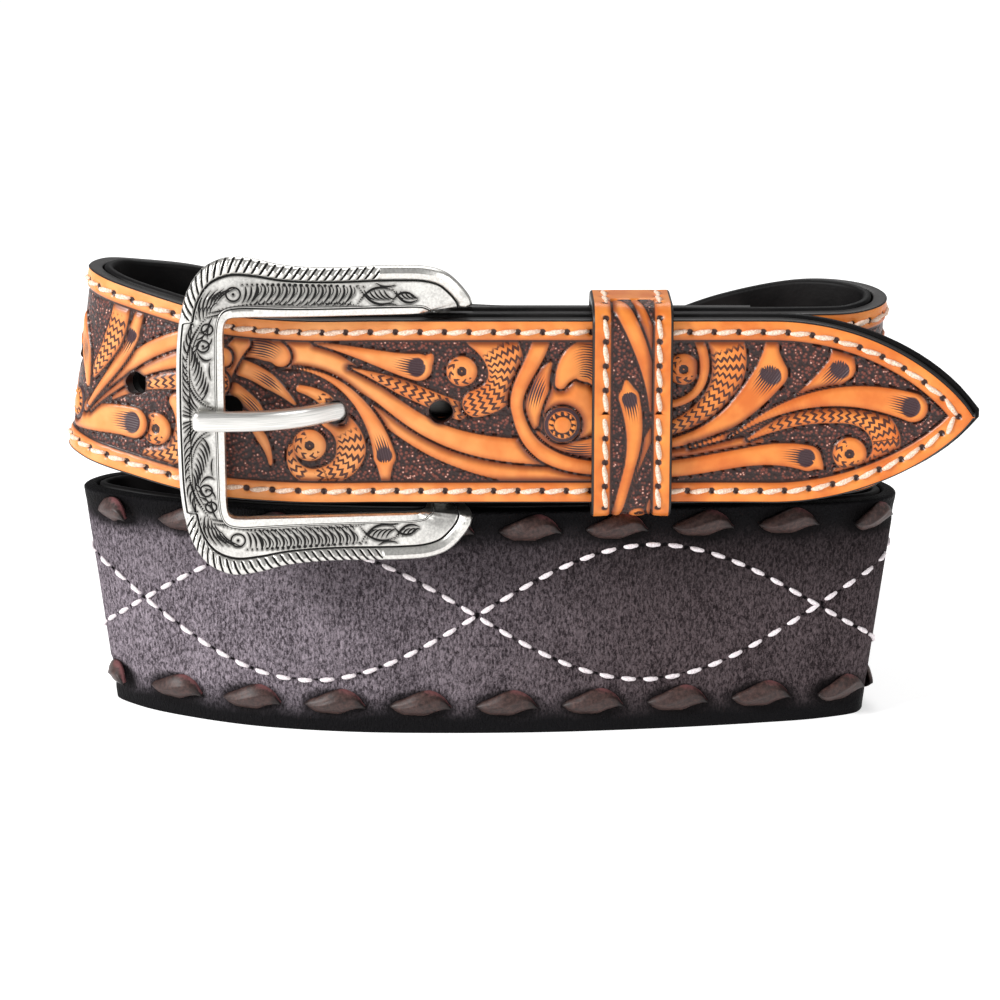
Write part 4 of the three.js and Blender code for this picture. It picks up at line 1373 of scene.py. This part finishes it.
keeper_outer_radius = keeper_inner_radius + keeper_thickness
keeper_bend = math.pi / 2 * keeper_outer_radius
keeper_round = 2 * (straight_depth + straight_height) + 4 * keeper_bend
keeper_centre = along_strap(strap_line, np.array([strap_length - keeper_place]))[0]
keeper_ways = [
    along_strap(table, np.array([strap_length - keeper_place]))[0]
    for table in (strap_out, strap_across, strap_along)
]
keeper_centre = (
    keeper_centre
    - keeper_ways[0] * (keeper_depth / 2 - strap_thickness - layer_clearance)
    + keeper_ways[1] * (keeper_slack / 2 - level_clearance)
)


def round_keeper(reach, depth):
    """A place round the loop, from the middle of its front, depth below the outer face."""
    legs = [(straight_height / 2, False)]
    for straight in (straight_depth, straight_height, straight_depth, straight_height / 2):
        legs += [(keeper_bend, True), (straight, False)]
    out = np.zeros(reach.shape)
    up = np.zeros(reach.shape)
    start = 0.0
    corner = np.array([half_depth - keeper_inner_radius, 0.0])
    heading = 0.0
    for length, bends in legs:
        here = (reach >= start - 1e-9) & (reach <= start + length + 1e-9)
        local = np.where(here, reach - start, 0)
        outward = np.array([math.cos(heading), math.sin(heading)])
        onward = np.array([-math.sin(heading), math.cos(heading)])
        if bends:
            turn = heading + local / keeper_outer_radius
            size = keeper_outer_radius - depth
            out = np.where(here, corner[0] + size * np.cos(turn), out)
            up = np.where(here, corner[1] + size * np.sin(turn), up)
            heading += math.pi / 2
        else:
            size = keeper_outer_radius - depth
            out = np.where(here, corner[0] + size * outward[0] + local * onward[0], out)
            up = np.where(here, corner[1] + size * outward[1] + local * onward[1], up)
            corner = corner + onward * length
        start += length
    return out, up


keeper_section = strap_section(44, 3, 0, keeper_thickness, keeper_corner)
keeper_seam_aside = keeper_width / 2 - keeper_stitch_inset
keeper_line = np.array([[0.0, keeper_seam_aside], [keeper_round, keeper_seam_aside]])
keeper_seams = [stitch_stops(keeper_line * (1, side), tan_pitch) for side in (-1, 1)]
keeper_needles = np.concatenate([seam[0] for seam in keeper_seams])
keeper_stitches = np.concatenate([seam[1] for seam in keeper_seams])
straights = (straight_height / 2, straight_depth, straight_height, straight_depth)
bend_starts = np.cumsum(straights) + keeper_bend * np.arange(4)
in_bend = np.abs(keeper_stitches[:, :1] - bend_starts - keeper_bend / 2) < keeper_bend / 2
keeper_stitches = keeper_stitches[~in_bend.any(1)]


def on_keeper(reach, aside, depth):
    out, up = round_keeper(np.mod(reach, keeper_round), depth)
    tilt = math.radians(keeper_turn)
    turned_out = out * math.cos(tilt) + aside * math.sin(tilt)
    turned_aside = aside * math.cos(tilt) - out * math.sin(tilt)
    steps = zip((turned_out, up, turned_aside), keeper_ways)
    return keeper_centre + sum(np.asarray(size)[..., None] * way for size, way in steps)


def keeper_surface(along, around):
    shares, offsets, depths, sides = keeper_section
    reach = keeper_round * along
    half = keeper_width / 2
    aside = shares[around] * (half - keeper_corner) + offsets[around]
    side = sides[around]
    front = np.nonzero(side == 0)[0]
    height = np.where(reach > keeper_round / 2, reach - keeper_round, reach)
    gap = half - np.abs(aside)
    tooled_gap = np.where(np.abs(height[front]) < keeper_field, gap[front], 0)
    marks = tool(keeper_table, -aside[front], height[front])
    marks = lay_marks(marks, tooled_gap, keeper_border_inset)
    marks["pit"] = needle_pits(reach[front], aside[front], keeper_needles)
    sunk = 0.7 * worked_depth(marks) + needle_depth * marks["pit"]
    carried = {}
    for label, values in marks.items():
        layer = np.full(reach.shape, 9.0 if label in ("cut", "below") else 0.0)
        layer[front] = values
        carried[label] = layer
    carried["hole"] = np.full(reach.shape, 9.0)
    carried["side"] = side
    carried["along"] = np.full(reach.shape, keeper_tan)
    depth = depths[around].copy()
    depth[front] += sunk
    return on_keeper(reach, aside, depth), carried


keeper = strip("tooled_keeper", int(keeper_round / 0.4), len(keeper_section[0]) - 1, keeper_surface)
keeper.data.materials.append(tooled)
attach(keeper, "root")
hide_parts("keeper")
keeper_threads = many(
    "keeper_stitching",
    thread_pattern(tan_thread_length, tan_thread_radius, tan_thread_slant),
    *stitches_on(on_keeper, keeper_stitches[:, 0], keeper_stitches[:, 1], 0.0),
)
keeper_threads.data.materials.append(cream_thread)
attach(keeper_threads, "root")


# Buckle frame: cast white metal with an engraved face, a rope edge round its free corners and the
# round bar in one piece. Black is left in the hollows, and the high places are polished bright.
window_clearance = 1
rim_width = 9.7
arm_width = 12.2
frame_thickness = 3.4
frame_lift = 5.4
rope_height = 0.7
rope_pitch = 1.6
rope_slant = -0.75
border_height = 0.3
engraving_squeeze = 1.032
rope_start_row = 3.1
rope_end_row = 11.2
rim_lift = frame_lift + strap_thickness + layer_clearance

# Half of the frame's outline, from the middle of its rim round a corner to the bar. Inner columns are
# shares of the window's length and half height, outer ones of the frame's. lift is 1 at the rim and
# 0 at the bar, and bar is 1 on the round bar.
frame_columns = ("inner_reach", "inner_rise", "outer_reach", "outer_rise", "lift", "bar")
frame_table = (
    (1, 0, 1, 0, 1, 0),
    (1, 0.3, 0.998, 0.22, 1, 0),
    (1, 0.6, 0.993, 0.44, 1, 0),
    (1, 0.82, 0.978, 0.63, 1, 0),
    (0.993, 0.94, 0.948, 0.795, 1, 0),
    (0.972, 0.99, 0.89, 0.93, 0.99, 0),
    (0.92, 1, 0.8, 0.997, 0.98, 0),
    (0.84, 1, 0.7, 0.985, 0.96, 0),
    (0.72, 1, 0.6, 0.945, 0.94, 0),
    (0.59, 1, 0.49, 0.925, 0.91, 0),
    (0.45, 1, 0.37, 0.92, 0.87, 0),
    (0.31, 1, 0.25, 0.925, 0.83, 0),
    (0.2, 1, 0.14, 0.925, 0.8, 0),
    (0.13, 1, 0.045, 0.915, 0.77, 0),
    (0.1, 1, -0.03, 0.875, 0.74, 0),
    (0.09, 1, -0.085, 0.795, 0.71, 0),
    (0.08, 1, -0.12, 0.71, 0.67, 0),
    (0.075, 1, -0.125, 0.655, 0.61, 0.06),
    (0.07, 1, -0.11, 0.645, 0.34, 0.38),
    (0.06, 0.98, -0.09, 0.63, 0.1, 0.8),
    (0.05, 0.955, -0.05, 0.6, 0, 1),
    (0.05, 0.4, -0.05, 0.24, 0, 1),
)

# The frame's section, from its inner edge over the face to the outer edge and back behind. border
# and rope are the raised edges, and turn is the same place on the round bar, in degrees.
section_columns = ("share", "border", "rope", "lift", "turn")
section_table = (
    (0, 0, 0, -0.5, 5),
    (0.03, 1, 0, -0.05, 20),
    (0.15, 1, 0, 0, 50),
    (0.18, 0, 0, -0.1, 56),
    (0.68, 0, 0, -0.25, 106),
    (0.72, 0, 0, -0.45, 120),
    (0.76, 0, 0.45, -0.25, 130),
    (0.87, 0, 1, 0, 150),
    (0.97, 0, 0.65, -0.4, 172),
    (1, 0, 0, -0.8, 190),
    (0.96, 0, 0, -frame_thickness, 235),
    (0.05, 0, 0, -frame_thickness, 310),
)
face_steps = (2, 3, 2, 38, 3, 3, 5, 4, 3, 4, 3, 2)
front_steps = sum(face_steps[:9])
frame_rows = 1240

# The graver's cuts on one half of the face, the other half being its mirror. x is counted from the
# bar towards the rim and y from the prong's line outward, in millimetres. A cut runs from a start by
# a bend to an end, both counted from the start, and may be copied in steps that turn by degrees.
cut_columns = (
    "x", "y", "bend_x", "bend_y", "end_x", "end_y", "width", "copies", "step_x", "step_y", "turn",
)
cut_table = (
    (48.7, 0.5, 1, 0.1, 2.1, 0.5, 0.13, 5, -0.05, 0.42, 13),
    (47.9, 1.8, 1.2, 1, 1.6, 2.8, 0.16, 2, -0.3, 0.5, 4),
    (44.6, 2, 5.6, 2.6, 5, 9.4, 0.22, 1, 0, 0, 0),
    (45.4, 3.2, 3.4, 1.8, 3.6, 7, 0.13, 1, 0, 0, 0),
    (46.9, 3.9, -1.3, 1.2, -1.5, 3.4, 0.16, 8, 0.28, 1.1, -3),
    (46.3, 5.2, -0.7, 1.1, -0.9, 2.4, 0.1, 7, 0.28, 1.1, -3),
    (44.9, 8.4, 0.5, 1.4, 0.1, 3.4, 0.13, 1, 0, 0, 0),
    (48.9, 3, 1.3, 0.7, 1.7, 2.3, 0.15, 6, 0.1, 1.4, 3),
    (49.6, 11, 0, 5.2, -3.8, 9.8, 0.24, 1, 0, 0, 0),
    (48.7, 12, -0.2, 4, -2.6, 7.4, 0.14, 1, 0, 0, 0),
    (49.5, 12, 1.1, 0.8, 1.1, 2.6, 0.17, 6, -0.28, 1.5, 7),
    (48.5, 13.8, -1.1, 0.5, -1.5, 2.2, 0.15, 4, -0.5, 1.4, 8),
    (44.7, 12.6, 1.8, -1.2, 2.9, 1.8, 0.18, 1, 0, 0, 0),
    (44.5, 16.8, 0.3, -1.7, 1.9, -2.1, 0.16, 1, 0, 0, 0),
    (44.3, 21.2, 1.2, -1.8, 1, -4.2, 0.18, 1, 0, 0, 0),
    (48.2, 20.6, 1.2, 2, 0.4, 4.8, 0.17, 8, -0.68, 0.5, 8),
    (48, 21.6, 0.8, 1.2, 0.3, 2.6, 0.1, 8, -0.68, 0.5, 8),
    (46.6, 20.6, 0.6, 1.4, -0.2, 2.6, 0.12, 4, -0.6, 0.5, 10),
    (45.6, 21.2, -3.6, 0.6, -7.2, 2, 0.18, 2, -0.6, 1, 3),
    (43, 22.8, -8, 1.9, -17, 0.3, 0.2, 1, 0, 0, 0),
    (38.4, 24.2, -1, 1.4, -0.6, 3.2, 0.2, 3, -0.9, 0.2, 4),
    (26.6, 23.3, -6, 0.9, -11.4, -0.3, 0.16, 1, 0, 0, 0),
    (38.4, 27.9, -10, -0.2, -23.6, -0.9, 0.34, 1, 0, 0, 0),
    (35.6, 27.8, -1, -1.6, 1.4, -3.9, 0.22, 14, -1.4, -0.05, 0),
    (34.9, 27.6, -0.7, -1, 0.6, -2.3, 0.1, 14, -1.4, -0.05, 0),
    (35.4, 24.7, 0.2, -0.7, 1, -1, 0.1, 14, -1.4, -0.05, 0),
    (15.8, 27.2, -2.6, -5.4, -6.8, -3.4, 0.24, 1, 0, 0, 0),
    (15.9, 23.6, -2.8, 4.4, -6.6, 2.6, 0.24, 1, 0, 0, 0),
    (14.6, 26.2, -0.6, -1.7, -1.9, -1.9, 0.16, 5, -0.95, 0, 0),
    (9.2, 26.6, -2.2, -4.4, -5, -2.6, 0.22, 1, 0, 0, 0),
    (9.2, 23.8, -2, 3.2, -4.8, 0.6, 0.22, 1, 0, 0, 0),
    (8.4, 25.9, -0.4, -1.4, -1.4, -1.6, 0.15, 4, -0.85, -0.1, -4),
    (12.2, 27.6, -1.4, -1.2, -3.6, -0.4, 0.16, 1, 0, 0, 0),
    (12, 22.8, -1.4, 0.9, -3.6, 0.3, 0.16, 1, 0, 0, 0),
)

# Small rings of the engraving: a middle and a radius.
ring_table = (
    (46.3, 15.2, 1.2),
    (45.4, 18.7, 1.1),
    (40.2, 25.9, 1.4),
)


def engrave(x, y):
    """How far points of the face lie from the nearest cut, in millimetres, and below 0 in a cut."""
    gap = np.full(x.shape, 9.0)
    t = np.linspace(0, 1, 22)[:, None]
    for values in cut_table:
        row = dict(zip(cut_columns, values))
        for k in range(row["copies"]):
            turn = math.radians(row["turn"] * k)
            ways = np.array([[math.cos(turn), math.sin(turn)], [-math.sin(turn), math.cos(turn)]])
            bend = np.array([row["bend_x"], row["bend_y"]]) @ ways
            end = np.array([row["end_x"], row["end_y"]]) @ ways
            start = np.array([row["x"] + k * row["step_x"], row["y"] + k * row["step_y"]])
            points = start + bend * 2 * t * (1 - t) + end * t**2
            taper = row["width"] * (0.35 + 0.65 * np.sin(math.pi * t[:, 0]))
            low = points.min(0) - 1
            high = points.max(0) + 1
            near = np.nonzero((x > low[0]) & (x < high[0]) & (y > low[1]) & (y < high[1]))[0]
            away = np.hypot(x[near, None] - points[:, 0], y[near, None] - points[:, 1]) - taper
            gap[near] = np.minimum(gap[near], away.min(1))
    for middle_x, middle_y, radius in ring_table:
        away = np.abs(np.hypot(x - middle_x, y - middle_y) - radius) - 0.14
        gap = np.minimum(gap, np.minimum(away, np.hypot(x - middle_x, y - middle_y) - 0.25))
    return gap


def frame_points(place, corner):
    """Points on the frame, for rows of its outline and corners of its section."""
    half_window = lining_width / 2 + window_clearance
    row = dict(zip(frame_columns, smooth_rows(frame_table, np.abs(place)).T))
    mirror = np.where(place < 0, -1, 1)
    front = row["lift"] * (rim_lift + bar_depth) - bar_depth
    share = corner["share"]
    reach = row["inner_reach"] * window_length * (1 - share)
    reach = reach + row["outer_reach"] * (window_length + rim_width) * share
    rise = row["inner_rise"] * half_window * (1 - share)
    rise = rise + row["outer_rise"] * (half_window + arm_width) * share
    lift = front + corner["lift"] + corner["raised"]
    turn = np.radians(corner["turn"])
    bar = row["bar"]
    reach = reach * (1 - bar) + bar_radius * np.cos(turn) * bar
    lift = lift * (1 - bar) + (bar_radius * np.sin(turn) - bar_depth) * bar
    rise = rise * (1 - bar) + row["inner_rise"] * half_window * bar
    return reach, lift, mirror * rise


section_places = np.concatenate(
    [i + np.arange(steps) / steps for i, steps in enumerate(face_steps)] + [[len(face_steps)]]
)
section_loop = np.array((*section_table, (0, 0, 0, -0.5, 365)), float)
section_fine = np.stack(
    [np.interp(section_places, np.arange(len(section_loop)), column) for column in section_loop.T], 1
)
middle_places = np.linspace(0, len(frame_table) - 1, 3000)
middle_corner = {"share": 0.85, "lift": 0, "raised": 0, "turn": 140}
middle_line = np.stack(frame_points(middle_places, middle_corner), 1)
middle_steps = np.linalg.norm(np.diff(middle_line, axis=0), axis=1)
middle_reach = np.concatenate([[0], np.cumsum(middle_steps)])
bar_shares = np.array(frame_table)[:, frame_columns.index("bar")]


def frame_surface(along, around):
    run = middle_reach[-1] * (1 - 2 * along)
    place = np.sign(run) * np.interp(np.abs(run), middle_reach, middle_places)
    corner = dict(zip(section_columns, section_fine[around].T))
    start, end = np.interp((rope_start_row, rope_end_row), middle_places, middle_reach)
    roped = smooth_step(np.abs(run), start - 0.8, start)
    roped = roped * (1 - smooth_step(np.abs(run), end, end + 0.8))
    twist = (np.abs(run) + (corner["share"] - 0.87) * 10 * rope_slant) * math.pi / rope_pitch
    lobe = np.abs(np.sin(twist)) ** 0.6
    rope = corner["rope"] * (0.6 + roped * (lobe - 0.6))
    corner["raised"] = corner["border"] * border_height + rope * rope_height
    on_rim = 1 - smooth_step(np.abs(run), start - 1.6, start - 0.2)
    levelled = on_rim * (corner["lift"] > -0.45) * (corner["share"] > 0.2) * (corner["share"] < 0.94)
    corner["lift"] = corner["lift"] * (1 - levelled) - (0.08 + 0.1 * corner["share"]) * levelled
    corner["raised"] = corner["raised"] * (1 - 0.85 * on_rim * (corner["rope"] > 0))
    bound = 0.69 + 0.2 * on_rim
    reach, lift, rise = frame_points(place, corner)
    front = (around > 0) & (around < front_steps)
    field = front * smooth_step(corner["share"], 0.19, 0.21)
    field = field * (1 - smooth_step(corner["share"] - bound, -0.02, 0))
    on_face = np.nonzero(field > 0)[0]
    engraved = np.full(run.shape, 9.0)
    engraved[on_face] = engrave(reach[on_face], np.abs(rise[on_face]) * engraving_squeeze)
    lift = lift - 0.12 * field * np.exp(-((np.maximum(engraved, 0) / 0.12) ** 2))
    carried = {
        "hollow": smooth_step(corner["share"], 0.73, 0.76) * roped * (1 - lobe) * front,
        "bound": bound,
        "share": corner["share"],
        "engraved": engraved,
        "field": field,
        "face": front,
        "bar": np.interp(np.abs(place), np.arange(len(frame_table)), bar_shares),
    }
    return by_bar(reach, lift, rise), carried


frame_ring = strip("engraved_buckle", frame_rows, len(section_places) - 1, frame_surface)
silver, surface, wire = finish_named("antique_silver", metallic=1.0, roughness=0.3)
share = wire.carried("share")
face = wire.carried("face") * (1 - wire.carried("bar"))
field = wire.carried("field") * (1 - wire.carried("bar"))
engraved = wire.carried("engraved")
scuff = wire.noise(0.5, 4, 0.6)
shadow = wire.noise(6, 3, 0.6)
bright = scuff.rises(0.25, 0.75).mix(paint(210, 208, 203), paint(242, 240, 235))
worked = (0.5 * shadow + 0.5 * scuff).rises(0.32, 0.68)
worked = worked.mix(paint(186, 184, 180), paint(238, 236, 231))
metal = field.mix(bright, worked)
near_cut = (1 - engraved.rises(0, 0.7)) * field
metal = (0.6 * near_cut).mix(metal, paint(98, 95, 91))
cut_line = (1 - engraved.rises(-0.04, 0.09)) * field
inner_line = (1 - wire.maths("ABSOLUTE", share - 0.165).rises(0.006, 0.016)) * face
second_line = (1 - wire.maths("ABSOLUTE", share - 0.2).rises(0.005, 0.012)) * face
outer_line = wire.maths("ABSOLUTE", share - wire.carried("bound") - 0.02)
outer_line = (1 - outer_line.rises(0.012, 0.03)) * face
hollow = wire.carried("hollow").rises(0.28, 0.5)
dark = 0.7 * second_line
for line in (cut_line, inner_line, outer_line, hollow):
    dark = wire.maths("MAXIMUM", dark, line)
dark = (dark + 0.25 * (scuff - 0.5)).rises(0.15, 0.8)
lead(
    surface,
    base_color=dark.mix(metal, paint(26, 25, 24)),
    roughness=0.26 + 0.14 * scuff + 0.4 * dark,
    metallic=1 - 0.7 * dark,
    normal=(0.3 * scuff - 1.2 * dark).bump(0.5, 0.12),
)
frame_ring.data.materials.append(silver)
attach(frame_ring, "root")
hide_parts("buckle_frame")


# Buckle prong: a cast tongue with rounded edges that hooks round the bar, comes up through the hole
# in use and rests on the rim. Its top is brushed along its length.
prong_columns = ("reach", "lift")
prong_table = (
    (0.15, -0.01),
    (0.29, 0.1),
    (0.43, 0.42),
    (0.56, 0.75),
    (0.7, 0.94),
    (0.84, 1),
    (1, 1),
)
hook_steps = 12
hook_sweep = 1.45 * math.pi
middle_lift = -bar_depth + hook_radius
rest_lift = rim_lift + border_height + prong_gap + prong_thickness / 2
hook_turn = hook_sweep * (1 - np.arange(hook_steps + 1) / hook_steps)
hook_line = np.stack([-hook_radius * np.sin(hook_turn), hook_radius * np.cos(hook_turn) - bar_depth], 1)
prong_rows = np.array(prong_table)
shank_line = np.stack(
    [prong_rows[:, 0] * prong_length, middle_lift + prong_rows[:, 1] * (rest_lift - middle_lift)], 1
)
prong_fine = smooth_through([*hook_line, *shank_line], np.linspace(0, 1, 1200))
prong_steps = np.linalg.norm(np.diff(prong_fine, axis=0), axis=1)
prong_fine_reach = np.concatenate([[0], np.cumsum(prong_steps)])
prong_around = 24
prong_squareness = 0.55


def along_prong(reach):
    return np.stack([np.interp(reach, prong_fine_reach, column) for column in prong_fine.T], 1)


def prong_surface(along, around):
    reach = along * prong_fine_reach[-1]
    middle = along_prong(reach)
    direction = unit(along_prong(reach + 0.1) - along_prong(reach - 0.1))
    turn = 2 * math.pi * around / prong_around
    side = np.sign(np.cos(turn)) * np.abs(np.cos(turn)) ** prong_squareness
    up = np.sign(np.sin(turn)) * np.abs(np.sin(turn)) ** prong_squareness
    left = prong_fine_reach[-1] - reach
    nose = np.sqrt(np.clip(1 - np.clip(1 - left / 1.6, 0, 1) ** 2, 0.02, 1))
    depth = up * prong_thickness / 2 * nose
    rise = side * prong_width / 2 * (0.55 + 0.45 * nose)
    ahead = middle[:, 0] - direction[:, 1] * depth
    lift = middle[:, 1] + direction[:, 0] * depth
    return by_bar(ahead, lift, rise), {"brushed": reach, "rise": rise}


prong = strip("buckle_tongue", 260, prong_around, prong_surface)
brushed_silver, surface, wire = finish_named("brushed_silver", metallic=0.9, roughness=0.28)
brush_way = {"X": wire.carried("brushed") * 0.12, "Y": wire.carried("rise") * 7}
lengthwise = wire.node("CombineXYZ", {}, brush_way)
# The prong is darker and rougher along its first 12 to 26 mm round the hook than past it.
past_hook = wire.carried("brushed").rises(12, 26)
strokes = wire.node("TexNoise", {}, {"Vector": lengthwise, "Scale": 1, "Detail": 3}, "Fac")
brushed = strokes.rises(0.3, 0.7).mix(paint(200, 199, 195), paint(236, 234, 230))
lead(
    surface,
    base_color=(1 - past_hook).mix(brushed, paint(46, 42, 39)),
    roughness=0.6 - 0.38 * past_hook + 0.18 * strokes,
    normal=strokes.bump(0.2, 0.05),
)
prong.data.materials.append(brushed_silver)
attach(prong, "root")
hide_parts("buckle_prong")


# Fold screws: two plain plated screws that close the fold of the buckle billet behind the lining.
# Their heads show only from inside the coil.
screw_metal, surface, wire = finish_named("screw_metal", metallic=1.0, roughness=0.35)
lead(
    surface,
    base_color=wire.noise(1.5, 3).rises(0.3, 0.7).mix(paint(150, 150, 148), paint(205, 204, 200)),
    normal=wire.noise(0.6, 3).bump(0.15, 0.05),
)
for screw in ("fold_screw_1", "fold_screw_2"):
    bpy.data.objects[screw].data.materials.clear()
    bpy.data.objects[screw].data.materials.append(screw_metal)
